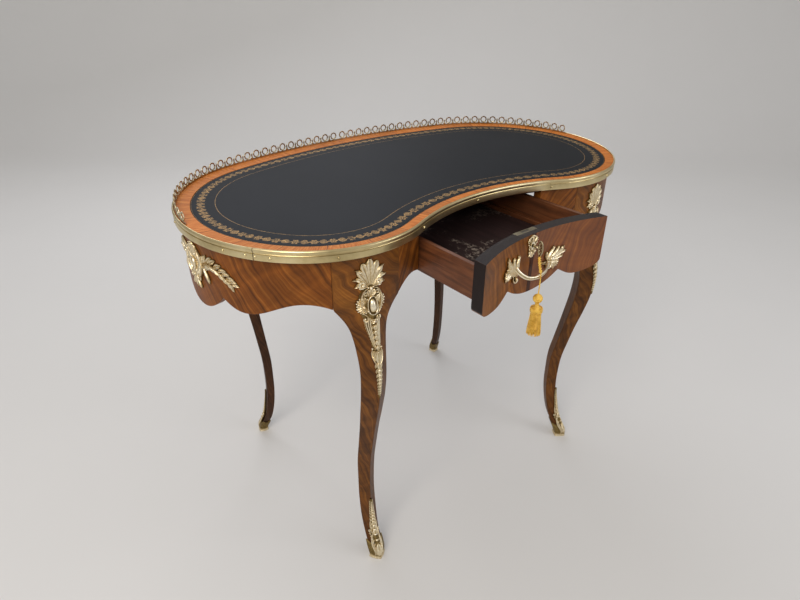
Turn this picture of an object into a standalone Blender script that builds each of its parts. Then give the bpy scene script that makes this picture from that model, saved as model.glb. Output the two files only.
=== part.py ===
"""Kidney-shaped writing desk on four cabriole legs, with one drawer in the waist, standing open.

Lengths are in metres. X runs along the desk, the front faces -Y and Z is up. Plan places are first
worked out in the desk's own plan, whose Y = 0 lies midway between the front and the back feet; the
empty "desk" then sets that plan so that the world origin is on the floor under the middle of the desk.
"""

import math

import bmesh
import bpy
from mathutils import Vector

for leftover in list(bpy.data.objects):
    bpy.data.objects.remove(leftover, do_unlink=True)

# Fits
SEAT_GAP = 0.0003  # between pieces that touch
MOUNT_GAP = 0.0005  # behind a cast mount on a curved face
SLIDE_GAP = 0.0005  # beside pieces that slide
OVERRUN = 0.004  # how far a cutter passes the faces it cuts

# Outline of the top, at the edge of the wood
TOP_HEIGHT = 0.760
HALF_LENGTH = 0.5322
BACK_Y = 0.3165
WAIST_DEPTH = 0.0684
END_RADIUS = 0.284
LOBE_RADIUS = 0.221
BACK_HEADING = 15.011  # clockwise from +Y, where the back's arc meets the end's
LOBE_HEADING = 133.542  # and where the end's arc meets the front lobe's
BACK_STEPS = 8
END_STEPS = 28
LOBE_STEPS = 12
WAIST_STEPS = 8

# Top board, cross-banding and leather
BOARD_THICKNESS = 0.0200
VENEER = 0.0015
LEATHER_THICKNESS = 0.0010
LEATHER_MARGIN = 0.026
LEATHER_FORWARD = 0.008

# Brass band round the edge: how far each point stands out of the wood, and its height on the band
BAND_STAND = 0.0039
BAND_HEIGHT = 0.0220
BAND_LIP = 0.0020
BAND_PROFILE_SHARES = (
    (0.00, 0.00), (0.86, 0.00), (0.90, 0.54), (0.62, 0.60), (0.92, 0.67),
    (1.08, 0.80), (0.94, 0.94), (0.55, 1.00), (0.00, 0.95),
)
BAND_SPLICE_NEAR = 0.104  # from the middle of the waist to the splice
BAND_SPLICE_FAR = 0.182
BAND_END_JOINT = 0.530  # from the middle of the waist to the joint at the left end

# Pierced gallery
GALLERY_INSET = 0.0016
GALLERY_THICKNESS = 0.0012
GALLERY_HEIGHT = 0.0225
GALLERY_NECK_SHARE = 0.42
GALLERY_BASE_SHARE = 0.14
GALLERY_BORE_SHARE = 0.74
GALLERY_RINGS = 27

# Apron walls
WALL_INSET = 0.008
WALL_THICKNESS = 0.018
APRON_LOBE_DROP = 0.1580  # drops are measured down from the top
APRON_CUSP_DROP = 0.1180
APRON_CUSP_REACH = 0.081
APRON_SHOULDER_DROP = 0.1355
APRON_SHOULDER_REACH = 0.130
APRON_ARCH_DROP = 0.1040
APRON_ARCH_REACH = 0.247
BACK_CUSP_REACH = 0.082
BACK_LOBE_DROP = 0.1470
BACK_SIDE_LOBE_REACH = 0.150
BACK_SIDE_LOBE_DROP = 0.1400
PANEL_EDGE_DROP = 0.1030
PANEL_ARCH_DROP = 0.0960
PANEL_ARCH_SHARE = 0.42
WING_DROP = 0.1170
APRON_STEP = 0.0105

# Legs: the wing is the part of the leg that lies in the wall
WING_REACH = 0.070
WING_STEPS = 3
BLOCK_REACH = 0.028
BLOCK_DEPTH = 0.052
FRONT_LEG_HEADING = 173.0
BACK_LEG_HEADING = 15.5
FRONT_ARRIS_TURN = 4.0
BACK_ARRIS_TURN = 12.0
FRONT_LEG_SIDE = 0.0400
BACK_LEG_SIDE = 0.0300
FRONT_LEG_STAND = 0.0067
BACK_LEG_STAND = -0.0047
LEG_HEAD = 0.160  # the part of the leg above its shaft
FRONT_LEG_SWEEP = 0.046
BACK_LEG_SWEEP = 0.037
FRONT_RIDGE_STAND = 0.0165
BACK_RIDGE_STAND = 0.0070
LEG_STEP_SHARE = 0.034
# height up the shaft, reach outward and side of the square, as shares of the three sizes above
LEG_SHARES = (
    (0.0000, 0.150, 0.50), (0.0250, 0.110, 0.52), (0.0500, -0.090, 0.57), (0.1000, -0.480, 0.60),
    (0.1667, -0.740, 0.65), (0.2500, -0.910, 0.66), (0.3333, -0.935, 0.67), (0.4167, -0.880, 0.71),
    (0.5000, -0.674, 0.74), (0.5833, -0.450, 0.78), (0.6667, -0.207, 0.87), (0.7500, 0.000, 0.94),
    (0.8333, 0.065, 0.97), (0.9167, -0.090, 1.00), (1.0000, -0.348, 0.98), (1.0717, -0.580, 0.95),
)
# height as a share of the shaft, share of the way into the wing, share of the ridge's stand
FLARE_SHARES = (
    (0.955, 0.00, 1.00), (0.980, 0.14, 1.00), (1.000, 0.30, 1.00), (1.018, 0.43, 0.86),
    (1.033, 0.60, 0.72), (1.052, 0.80, 0.56), (1.0717, 1.00, 0.45), (1.086, 1.00, 0.32),
    (1.100, 1.00, 0.21), (1.117, 1.00, 0.10), (1.135, 1.00, 0.00),
)

# Sabots and knee mounts
SABOT_WALL = 0.0018
SABOT_GAP = 0.0015
SABOT_SOLE = 0.0020
SABOT_HEIGHT = 0.052
SABOT_TONGUE = 0.130
SABOT_RINGS = 6
SABOT_SWELL = 0.0022
KNEE_TOP_DROP = 0.0293
KNEE_LENGTH = 0.2757
KNEE_HALF_WIDTH = 0.0275
KNEE_RELIEF = 0.0060
KNEE_EDGE = 0.0016
KNEE_GAP = 0.0008
# height between tip and top, half width as a share of the widest
KNEE_SHARES = (
    (0.000, 0.06), (0.080, 0.16), (0.170, 0.22), (0.235, 0.34), (0.310, 0.33), (0.420, 0.40),
    (0.520, 0.55), (0.590, 0.74), (0.650, 0.93), (0.710, 1.00), (0.775, 0.90), (0.830, 0.64),
    (0.870, 0.84), (0.915, 0.80), (0.960, 0.62), (1.000, 0.22),
)
KNEE_COLUMN_SHARES = (-1.0, -0.5, 0.0, 0.5, 1.0)
KNEE_DOME_SHARES = (0.0, 0.75, 1.0, 0.75, 0.0)

# End mounts
END_MOUNT_REACH = 0.117
END_MOUNT_DROP = 0.0300
END_MOUNT_HEIGHT = 0.0920
END_MOUNT_RELIEF = 0.0060
# place along the mount, lower line and upper line as shares of its height
END_MOUNT_SHARES = (
    (-1.00, 0.30, 0.40), (-0.86, 0.14, 0.48), (-0.72, 0.16, 0.50), (-0.58, 0.22, 0.54),
    (-0.44, 0.30, 0.62), (-0.30, 0.22, 0.72), (-0.16, 0.06, 0.92), (0.00, 0.00, 1.00),
    (0.16, 0.06, 0.92), (0.30, 0.22, 0.72), (0.44, 0.30, 0.62), (0.58, 0.22, 0.54),
    (0.72, 0.16, 0.50), (0.86, 0.14, 0.48), (1.00, 0.30, 0.40),
)

# Drawer
DRAWER_X = -0.0095  # the drawer sits a little left of the middle
DRAWER_OPEN = 0.172  # how far it stands open at rest
PANEL_WIDTH = 0.0757  # from the front leg's wing to the drawer opening, on average
FRONT_END_GAP = 0.0015  # between the drawer front's end and the opening's jamb
FRONT_INSET = 0.010
FRONT_THICKNESS = 0.025
FRONT_TOP_DROP = 0.0290
FRONT_END_HEIGHT = 0.0910
FRONT_LOBE_HEIGHT = 0.1214
FRONT_CUSP_HEIGHT = 0.0950
FRONT_CUSP_REACH = 0.0765
FRONT_SIDE_LOBE_HEIGHT = 0.1145
FRONT_SIDE_LOBE_REACH = 0.120
FRONT_STEPS = 32
LOBE_POWER = 2.2  # how blunt the centre lobes are
SIDE_STEP = 0.0010  # from the front's end in to the side's outer face
SIDE_THICKNESS = 0.009
SIDE_DROP = 0.0110  # from the front's top to the sides'
SIDE_HEIGHT = 0.0660
BACK_ROOM = 0.0467  # from the shut drawer to the back apron
PANEL_RAISE = 0.0025
PANEL_THICKNESS = 0.006
SLIP_WIDTH = 0.0075
SLIP_HEIGHT = 0.010
BACK_DROP = 0.005
ARC_STEPS = 14

# Runners, guides, kickers, stops, rail and battens
RUNNER_WIDTH = 0.030
RUNNER_HEIGHT = 0.0087
GUIDE_HEIGHT = 0.0460
KICKER_WIDTH = 0.032
KICKER_INSIDE = 0.0075
STOP_HEIGHT = 0.016
STOP_LENGTH = 0.020
RAIL_GAP = 0.0020  # over the drawer front
RAIL_INSET = 0.012
RAIL_WIDTH = 0.028
BATTEN_SPACE = 0.0855  # from the kicker to the batten beside it
BATTEN_WIDTH = 0.030
BATTEN_HEIGHT = 0.018
BATTEN_FRONT_Y = -0.160
BATTEN_BACK_Y = 0.190

# Lock and key
KEY_X = -0.0215
KEY_DROP = 0.0220  # from the front's top to the key
CASE_HALF = 0.028
CASE_DEPTH = 0.0104
CASE_HEIGHT = 0.0370
CASE_WALL = 0.0024
SELVEDGE = 0.0030
CAP_THICKNESS = 0.0010
BOLT_HALF = 0.0100
BOLT_THICKNESS = 0.0050
BOLT_HEIGHT = 0.0105
KEYHOLE_RADIUS = 0.0036
STEM_RADIUS = 0.0025
BIT_REACH = 0.0082
BIT_WIDTH = 0.0024
BIT_LENGTH = 0.0045
BOW_HALF_HEIGHT = 0.0138
BOW_HALF_DEPTH = 0.0085
BOW_STAND = 0.0215
BOW_WIRE = 0.0017
SHAFT_SIDES = 12
BOW_STEPS = 20
BOW_SIDES = 6

# Escutcheon, as shares of its half width and height about the keyhole
ESCUTCHEON_HALF_WIDTH = 0.0165
ESCUTCHEON_RISE = 0.0200
ESCUTCHEON_THICKNESS = 0.0024
ESCUTCHEON_SHARES = (
    (0.50, 0.0), (0.92, 22.5), (1.04, 45.0), (1.00, 67.5), (1.06, 90.0), (1.00, 112.5), (1.04, 135.0),
    (0.92, 157.5), (0.50, 180.0), (0.62, 205.0), (0.66, 228.0), (1.05, 255.0), (1.22, 270.0),
    (1.05, 285.0), (0.66, 312.0), (0.62, 335.0),
)

# Pull: two cast leaf sprays joined by a bail
PULL_LIFT = 0.0005
LEAF_RELIEF = 0.0060
LEAF_EDGE = 0.0022
BAIL_HALF_HEIGHT = 0.0042
BAIL_HALF_DEPTH = 0.0027
BAIL_SIDES = 8
# the bail's centre line: distance along the front from the keyhole, out of the front, and height
PULL_ROOT = 0.0085  # from a spray's middle to the end of the bail
BAIL_STAND = 0.0250
BAIL_DROP = 0.0260
PULL_DROP = 0.0510  # from the front's top to the ends of the bail
BAIL_SHARES = (
    (-1.00, 0.16, 0.04), (-0.90, 0.40, 0.36), (-0.72, 0.66, 0.68), (-0.50, 0.84, 0.90),
    (-0.25, 0.96, 1.00), (0.00, 1.00, 1.02), (0.25, 0.96, 1.00), (0.50, 0.84, 0.94),
    (0.72, 0.62, 0.86), (0.86, 0.40, 0.78), (0.96, 0.16, 0.70),
)
LEAF_SIZE = 0.0300
LEAF_REACH_SHARE = 0.33333  # from the key to each spray, on the front's half length
LEFT_LEAF_DROP = 0.0545
RIGHT_LEAF_DROP = 0.0670
# reach and heading round each spray's middle
LEFT_LEAF_SHARES = (
    (0.55, 0.0), (0.42, 20.0), (1.00, 42.0), (0.50, 62.0), (0.95, 84.0), (0.50, 102.0), (1.12, 122.0),
    (0.52, 142.0), (0.62, 165.0), (0.95, 186.0), (0.88, 208.0), (0.48, 226.0), (0.62, 246.0),
    (1.10, 272.0), (1.02, 290.0), (0.46, 318.0), (0.52, 340.0),
)
RIGHT_LEAF_SHARES = (
    (1.02, 8.0), (0.58, 20.0), (1.42, 33.0), (0.74, 50.0), (0.62, 72.0), (1.12, 96.0), (1.42, 118.0),
    (0.68, 134.0), (0.60, 160.0), (0.72, 186.0), (0.80, 214.0), (0.62, 240.0), (0.92, 262.0),
    (0.52, 284.0), (0.88, 312.0), (0.52, 338.0),
)
SCREW_DROP = 0.0575
SCREW_RADIUS = 0.0020
SCREW_HEAD_RADIUS = 0.0045
SCREW_HEAD_HEIGHT = 0.0025
SCREW_FIT = 0.0004
SCREW_SIDES = 12

# Cord and tassel
CORD_RADIUS = 0.00125
CORD_STAND = 0.0298  # out of the drawer front, where the cord passes over the bail
CORD_BEND_SHARE = 0.55
CORD_POINTS = 14
CORD_FALL = 0.0752  # from the key's bow to the tassel
TASSEL_LENGTH = 0.0890
TASSEL_RADIUS = 0.0140
TASSEL_SIDES = 16
# depth down the tassel and radius
TASSEL_SHARES = (
    (0.000, 0.14), (0.015, 0.36), (0.060, 0.60), (0.105, 0.66), (0.150, 0.60), (0.195, 0.38),
    (0.225, 0.26), (0.270, 0.28), (0.315, 0.42), (0.345, 0.70), (0.375, 0.80), (0.405, 0.74),
    (0.430, 0.70), (0.700, 0.86), (0.960, 1.00), (1.000, 0.98),
)

# Heights and reaches that follow from the sizes above
BOARD_BOTTOM_Z = TOP_HEIGHT - BOARD_THICKNESS
WALL_TOP_Z = BOARD_BOTTOM_Z - SEAT_GAP
BAND_BOTTOM_Z = TOP_HEIGHT + BAND_LIP - BAND_HEIGHT
APRON_LOBE_Z = TOP_HEIGHT - APRON_LOBE_DROP
APRON_CUSP_Z = TOP_HEIGHT - APRON_CUSP_DROP
APRON_SHOULDER_Z = TOP_HEIGHT - APRON_SHOULDER_DROP
APRON_ARCH_Z = TOP_HEIGHT - APRON_ARCH_DROP
BACK_LOBE_Z = TOP_HEIGHT - BACK_LOBE_DROP
BACK_SIDE_LOBE_Z = TOP_HEIGHT - BACK_SIDE_LOBE_DROP
PANEL_EDGE_Z = TOP_HEIGHT - PANEL_EDGE_DROP
PANEL_ARCH_Z = TOP_HEIGHT - PANEL_ARCH_DROP
WING_Z = TOP_HEIGHT - WING_DROP
LEG_SHAFT_HEIGHT = TOP_HEIGHT - LEG_HEAD
KNEE_TOP_Z = TOP_HEIGHT - KNEE_TOP_DROP
KNEE_TIP_Z = KNEE_TOP_Z - KNEE_LENGTH
END_MOUNT_LOW_Z = TOP_HEIGHT - END_MOUNT_DROP - END_MOUNT_HEIGHT
FRONT_TOP_Z = TOP_HEIGHT - FRONT_TOP_DROP
FRONT_END_Z = FRONT_TOP_Z - FRONT_END_HEIGHT
FRONT_LOBE_Z = FRONT_TOP_Z - FRONT_LOBE_HEIGHT
FRONT_CUSP_Z = FRONT_TOP_Z - FRONT_CUSP_HEIGHT
FRONT_SIDE_LOBE_Z = FRONT_TOP_Z - FRONT_SIDE_LOBE_HEIGHT
SIDE_TOP_Z = FRONT_TOP_Z - SIDE_DROP
SIDE_BOTTOM_Z = SIDE_TOP_Z - SIDE_HEIGHT
RAIL_BOTTOM_Z = FRONT_TOP_Z + RAIL_GAP
KEY_Z = FRONT_TOP_Z - KEY_DROP
CASE_BOTTOM_Z = FRONT_TOP_Z - CASE_HEIGHT
PULL_Z = FRONT_TOP_Z - PULL_DROP
LEFT_LEAF_Z = FRONT_TOP_Z - LEFT_LEAF_DROP
RIGHT_LEAF_Z = FRONT_TOP_Z - RIGHT_LEAF_DROP
SCREW_Z = FRONT_TOP_Z - SCREW_DROP
WALL_BACK = WALL_INSET + WALL_THICKNESS
LEFT, RIGHT = -1.0, 1.0

COLOURS = {
    "walnut": ((0.227, 0.092, 0.030), 0.34, 0.0),
    "crossbanding": ((0.420, 0.165, 0.048), 0.32, 0.0),
    "secondary_wood": ((0.150, 0.060, 0.030), 0.60, 0.0),
    "drawer_lining": ((0.210, 0.085, 0.040), 0.55, 0.0),
    "leather": ((0.030, 0.035, 0.040), 0.42, 0.0),
    "gilt_brass": ((0.560, 0.440, 0.220), 0.34, 1.0),
    "edge_brass": ((0.520, 0.440, 0.240), 0.24, 1.0),
    "steel": ((0.300, 0.290, 0.270), 0.40, 1.0),
    "gold_thread": ((0.620, 0.400, 0.080), 0.60, 0.0),
}


# The outline: a chain of tangent arcs from the middle of the back to the middle of the waist


def outline_arcs():
    """The right half's arcs as centre, radius, first heading, last heading and +1 where it bulges."""
    first, second = math.radians(BACK_HEADING), math.radians(LOBE_HEADING)
    back_radius = END_RADIUS + (HALF_LENGTH - END_RADIUS) / math.sin(first)
    back = Vector((0.0, BACK_Y - back_radius))
    end = back + (back_radius - END_RADIUS) * Vector((math.sin(first), math.cos(first)))
    lobe = end + (END_RADIUS - LOBE_RADIUS) * Vector((math.sin(second), math.cos(second)))
    rise = LOBE_RADIUS - WAIST_DEPTH
    waist_radius = (lobe.x ** 2 + rise ** 2 - LOBE_RADIUS ** 2) / (2 * WAIST_DEPTH)
    waist = Vector((0.0, lobe.y - rise - waist_radius))
    third = heading_of(waist - lobe)
    return (
        (back, back_radius, 0.0, first, 1),
        (end, END_RADIUS, first, second, 1),
        (lobe, LOBE_RADIUS, second, third, 1),
        (waist, waist_radius, third, math.pi, -1),
    )


def heading_of(direction):
    """Angle clockwise from +Y, from 0 to a full turn."""
    return math.atan2(direction.x, direction.y) % math.tau


ARCS = outline_arcs()
ARC_LENGTHS = [radius * abs(last - first) for _, radius, first, last, _ in ARCS]
HALF_RUN = sum(ARC_LENGTHS)


def edge_frame(run):
    """Place and outward normal at a distance along the wood's edge, clockwise from the back's middle."""
    run = run % (2 * HALF_RUN)
    side = RIGHT
    if run > HALF_RUN:
        run, side = 2 * HALF_RUN - run, LEFT
    for (centre, radius, first, last, bulge), length in zip(ARCS, ARC_LENGTHS):
        if run <= length or bulge < 0:
            heading = first + (last - first) * run / length
            normal = Vector((math.sin(heading), math.cos(heading)))
            place = centre + bulge * radius * normal
            return Vector((side * place.x, place.y)), Vector((side * normal.x, normal.y))
        run -= length


def edge(run, inset=0.0):
    """A point on the outline, set in from the wood's edge."""
    place, normal = edge_frame(run)
    return place - inset * normal


def edge_runs():
    """The runs at which the whole outline has its corners."""
    steps = (BACK_STEPS, END_STEPS, LOBE_STEPS, WAIST_STEPS)
    half, start = [], 0.0
    for length, count in zip(ARC_LENGTHS, steps):
        half += [start + length * i / count for i in range(count)]
        start += length
    half.append(HALF_RUN)
    return half + [2 * HALF_RUN - run for run in half[-2:0:-1]]


EDGE_RUNS = edge_runs()


def stretch(start, stop, step=None):
    """Runs from start to stop: those of the outline's corners, or at an even step, and the two ends."""
    if step:
        count = max(1, round((stop - start) / step))
        return [start + (stop - start) * i / count for i in range(count + 1)]
    turns = [run + lap * 2 * HALF_RUN for lap in (-1, 0, 1) for run in EDGE_RUNS]
    inner = [run for run in turns if start + OVERRUN < run < stop - OVERRUN]
    return [start] + inner + [stop]


def on_facet(run, corners, inset):
    """A point on the flat facets that an edge with these corner runs has."""
    for low, high in zip(corners, corners[1:]):
        if run <= high or high == corners[-1]:
            share = (run - low) / (high - low)
            return edge(low, inset).lerp(edge(high, inset), share)


def run_at_heading(arc, heading):
    """The run at which an arc's normal points along a heading given in degrees."""
    _, radius, first, _, _ = ARCS[arc]
    return sum(ARC_LENGTHS[:arc]) + radius * (math.radians(heading) - first)


def run_at_front(x, inset):
    """The run, right of the waist's middle, at which a wall set in by inset has this x."""
    low, high = sum(ARC_LENGTHS[:2]), HALF_RUN
    for _ in range(50):
        middle = (low + high) / 2
        if edge(middle, inset).x > x:
            low = middle
        else:
            high = middle
    return low


def waist_y(x, inset):
    """Y of the front edge, set in by inset, at x."""
    return edge(run_at_front(abs(x), inset), inset).y


def back_y(x, inset):
    """Y of the back's arc, set in by inset, at x."""
    centre, radius = ARCS[0][:2]
    return centre.y + math.sqrt((radius - inset) ** 2 - x ** 2)


# Carriers: an empty for the desk and one on the axis of each moving body

OPENING_HALF = edge(run_at_heading(2, FRONT_LEG_HEADING) + WING_REACH, WALL_INSET).x - PANEL_WIDTH
FRONT_HALF = OPENING_HALF - FRONT_END_GAP
SIDE_OUT = FRONT_HALF - SIDE_STEP
SIDE_IN = SIDE_OUT - SIDE_THICKNESS
GUIDE_IN = FRONT_HALF + SLIDE_GAP
KICKER_IN = SIDE_IN - KICKER_INSIDE
KICKER_OUT = KICKER_IN + KICKER_WIDTH
BATTEN_X = abs(DRAWER_X) + KICKER_OUT + BATTEN_SPACE + BATTEN_WIDTH / 2
LEAF_REACH = LEAF_REACH_SHARE * FRONT_HALF
LEFT_LEAF_X, RIGHT_LEAF_X = KEY_X - LEAF_REACH, KEY_X + LEAF_REACH
PULL_SPAN = LEAF_REACH - PULL_ROOT
FRONT_CORNER_X = abs(DRAWER_X) + FRONT_HALF
BACK_OF_BAND = BACK_Y + BAND_STAND * max(stand for stand, _ in BAND_PROFILE_SHARES)
FRONT_OF_DRAWER = waist_y(FRONT_CORNER_X, FRONT_INSET) - DRAWER_OPEN
FACE_Y = waist_y(KEY_X, FRONT_INSET) - DRAWER_OPEN  # the drawer front's face at the keyhole
BACK_OF_SHUT_DRAWER = back_y(FRONT_CORNER_X, WALL_BACK) - BACK_ROOM
DRAWER_LENGTH = BACK_OF_SHUT_DRAWER - DRAWER_OPEN - FRONT_OF_DRAWER
CORD_TOP_Z = KEY_Z - BOW_HALF_HEIGHT - BOW_WIRE - SEAT_GAP
TASSEL_TOP_Z = CORD_TOP_Z - CORD_FALL

PLACES = {
    "desk": Vector((0.0, 0.0, 0.0)),
    "drawer_travel": Vector((DRAWER_X, FRONT_OF_DRAWER, SIDE_BOTTOM_Z)),
    "key_axis": Vector((KEY_X, FACE_Y, KEY_Z)),
    "bolt_travel": Vector((KEY_X, FACE_Y, FRONT_TOP_Z)),
    "cord_pivot": Vector((KEY_X, FACE_Y - BOW_STAND, KEY_Z - BOW_HALF_HEIGHT)),
}
CARRIED_BY = {
    "desk": None,
    "drawer_travel": "desk",
    "key_axis": "drawer_travel",
    "bolt_travel": "drawer_travel",
    "cord_pivot": "key_axis",
}
CARRIERS = {}


def make_carriers():
    for name, holder in CARRIED_BY.items():
        empty = bpy.data.objects.new(name, None)
        bpy.context.collection.objects.link(empty)
        empty.location = PLACES[name]
        if holder:
            empty.parent = CARRIERS[holder]
            empty.location = PLACES[name] - PLACES[holder]
        CARRIERS[name] = empty
    CARRIERS["desk"].location.y = -(BACK_OF_BAND + FRONT_OF_DRAWER) / 2


def finish_of(name):
    """The Principled material of that name, made once."""
    if name in bpy.data.materials:
        return bpy.data.materials[name]
    colour, roughness, metallic = COLOURS[name]
    material = bpy.data.materials.new(name)
    material.use_nodes = True
    shader = material.node_tree.nodes["Principled BSDF"]
    shader.inputs["Base Color"].default_value = (*colour, 1.0)
    shader.inputs["Roughness"].default_value = roughness
    shader.inputs["Metallic"].default_value = metallic
    material.diffuse_color = (*colour, 1.0)
    return material


def piece(name, skin, finish, carrier="desk", smooth=None):
    """An object from a closed bmesh in the desk's plan, hung on its carrier."""
    bmesh.ops.recalc_face_normals(skin, faces=skin.faces)
    bmesh.ops.translate(skin, verts=skin.verts, vec=-PLACES[carrier])
    mesh = bpy.data.meshes.new(name)
    skin.to_mesh(mesh)
    skin.free()
    made = bpy.data.objects.new(name, mesh)
    bpy.context.collection.objects.link(made)
    made.parent = CARRIERS[carrier]
    mesh.materials.append(finish_of(finish))
    if smooth:
        mesh.shade_smooth()
        mesh.set_sharp_from_angle(angle=math.radians(smooth))
    return made


def combine(target, skin, operation, label):
    """A Boolean on target by a hidden helper shape."""
    carrier = next(name for name, empty in CARRIERS.items() if empty == target.parent)
    helper = piece(f"{target.name}_{label}", skin, target.data.materials[0].name, carrier)
    helper.hide_render = True
    helper.display_type = "WIRE"
    step = target.modifiers.new(label, "BOOLEAN")
    step.operation = operation
    step.solver = "EXACT"
    step.object = helper


# Shapes


def loft(rings, loop=False):
    """A closed skin through rings of equal counts; an open run of rings is capped at both ends."""
    skin = bmesh.new()
    rows = [[skin.verts.new(point) for point in ring] for ring in rings]
    pairs = list(zip(rows, rows[1:]))
    if loop:
        pairs.append((rows[-1], rows[0]))
    else:
        skin.faces.new(rows[0])
        skin.faces.new(rows[-1])
    for low, high in pairs:
        for i in range(len(low)):
            skin.faces.new((low[i - 1], low[i], high[i], high[i - 1]))
    return skin


def prism(outline, bottom, top):
    """An upright block over a plan outline."""
    return loft([[(x, y, z) for x, y in outline] for z in (bottom, top)])


def block(x_pair, y_pair, z_pair):
    """A rectangular block."""
    (x0, x1), (y0, y1) = sorted(x_pair), sorted(y_pair)
    return prism([(x0, y0), (x1, y0), (x1, y1), (x0, y1)], *sorted(z_pair))


def plate(cells, outer, inner):
    """A closed plate from flat cells, whose two faces are placed by the outer and inner functions."""
    skin = bmesh.new()
    corners = {}
    for cell in cells:
        for point in cell:
            if point not in corners:
                corners[point] = (skin.verts.new(outer(*point)), skin.verts.new(inner(*point)))
    borders = {}
    for cell in cells:
        skin.faces.new([corners[point][0] for point in cell])
        skin.faces.new([corners[point][1] for point in reversed(cell)])
        for start, stop in zip(cell, cell[1:] + cell[:1]):
            if borders.pop((stop, start), None) is None:
                borders[(start, stop)] = True
    for start, stop in borders:
        (a_out, a_in), (b_out, b_in) = corners[start], corners[stop]
        skin.faces.new((b_out, a_out, a_in, b_in))
    return skin


def wall_skin(runs, low_line, high, front, back):
    """A wall along the outline, with its lower edge cut to a line."""
    rings = []
    for run in runs:
        near, far, low = edge(run, front), edge(run, back), low_line(run)
        rings.append([(*near, low), (*near, high), (*far, high), (*far, low)])
    return loft(rings)


def turned(profile, centre, sides):
    """A shape turned about a vertical line, from pairs of radius and height."""
    rings = []
    for radius, height in profile:
        spokes = [math.tau * i / sides for i in range(sides)]
        rings.append([
            (centre[0] + radius * math.cos(a), centre[1] + radius * math.sin(a), height)
            for a in spokes
        ])
    return loft(rings)


def rod(x, z, y_pair, radius, sides):
    """A round bar lying along Y."""
    spokes = [math.tau * i / sides for i in range(sides)]
    return loft([
        [(x + radius * math.cos(a), y, z + radius * math.sin(a)) for a in spokes] for y in y_pair
    ])


def ease(share):
    """A smooth step from 0 to 1."""
    return (1 - math.cos(math.pi * min(1.0, max(0.0, share)))) / 2


def between(rows, key):
    """Straight-line values of a table whose first column rises."""
    for low, high in zip(rows, rows[1:]):
        if key <= high[0] or high is rows[-1]:
            share = (key - low[0]) / (high[0] - low[0])
            return [a + (b - a) * share for a, b in zip(low[1:], high[1:])]


def curved(rows, key):
    """Values of the same kind of table on a smooth curve through its rows."""
    last = len(rows) - 1
    i = next((i for i in range(last) if key <= rows[i + 1][0]), last - 1)
    before, low, high, after = (rows[max(0, min(last, i + j))] for j in (-1, 0, 1, 2))
    span = high[0] - low[0]
    t = (key - low[0]) / span
    values = []
    for a, b, c, d in zip(before[1:], low[1:], high[1:], after[1:]):
        rise_low = (c - a) * span / (high[0] - before[0])
        rise_high = (d - b) * span / (after[0] - low[0])
        values.append(
            b * (1 + 2 * t) * (1 - t) ** 2 + rise_low * t * (1 - t) ** 2
            + c * t * t * (3 - 2 * t) + rise_high * t * t * (t - 1)
        )
    return values


# Top, edge band and gallery


def leather_line(run, margin):
    place = edge(run, margin)
    return Vector((place.x, place.y - LEATHER_FORWARD))


def make_top():
    veneer_bottom = TOP_HEIGHT - VENEER
    board = prism([edge(run) for run in EDGE_RUNS], BOARD_BOTTOM_Z, veneer_bottom - SEAT_GAP)
    piece("top_board", board, "secondary_wood")
    rings = []
    for run in EDGE_RUNS:
        rim, hem = edge(run), leather_line(run, LEATHER_MARGIN)
        rings.append([
            (*rim, veneer_bottom), (*rim, TOP_HEIGHT), (*hem, TOP_HEIGHT), (*hem, veneer_bottom)
        ])
    piece("top_banding", loft(rings, loop=True), "crossbanding")
    outline = [leather_line(run, LEATHER_MARGIN + SEAT_GAP) for run in EDGE_RUNS]
    leather = prism(outline, veneer_bottom, veneer_bottom + LEATHER_THICKNESS)
    piece("leather_inset", leather, "leather")


def make_band():
    lengths = {
        "right": (0.0, HALF_RUN - BAND_SPLICE_FAR),
        "splice": (HALF_RUN - BAND_SPLICE_FAR, HALF_RUN - BAND_SPLICE_NEAR),
        "front": (HALF_RUN - BAND_SPLICE_NEAR, HALF_RUN + BAND_END_JOINT),
        "left": (HALF_RUN + BAND_END_JOINT, 2 * HALF_RUN),
    }
    for name, (start, stop) in lengths.items():
        rings = []
        for run in stretch(start + SEAT_GAP / 2, stop - SEAT_GAP / 2):
            ring = []
            for stand, rise in BAND_PROFILE_SHARES:
                out = max(SEAT_GAP, stand * BAND_STAND)
                ring.append((*edge(run, -out), BAND_BOTTOM_Z + rise * BAND_HEIGHT))
            rings.append(ring)
        piece(f"brass_edge_{name}", loft(rings), "edge_brass", smooth=50)


def gallery_cell(start, pitch):
    """One ring of the gallery as eight cells between its rim and its bore."""
    neck = GALLERY_HEIGHT * GALLERY_NECK_SHARE
    base = GALLERY_HEIGHT * GALLERY_BASE_SHARE
    middle = (GALLERY_HEIGHT + base) / 2
    crown = (GALLERY_HEIGHT - base) / 2
    bore = crown * GALLERY_BORE_SHARE
    end, centre = start + pitch, start + pitch / 2
    slope = math.radians(45)
    rim = [
        (end, 0.0), (end, middle),
        (centre + crown * math.cos(slope), middle + crown * math.sin(slope)),
        (centre, GALLERY_HEIGHT),
        (centre - crown * math.cos(slope), middle + crown * math.sin(slope)),
        (start, middle), (start, 0.0), (centre, 0.0),
    ]
    rim[1], rim[5] = (end, neck), (start, neck)
    first = math.radians(-45)
    hole = [
        (centre + bore * math.cos(first + i * slope), middle + bore * math.sin(first + i * slope))
        for i in range(8)
    ]
    return [[rim[i - 1], rim[i], hole[i], hole[i - 1]] for i in range(8)]


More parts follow.
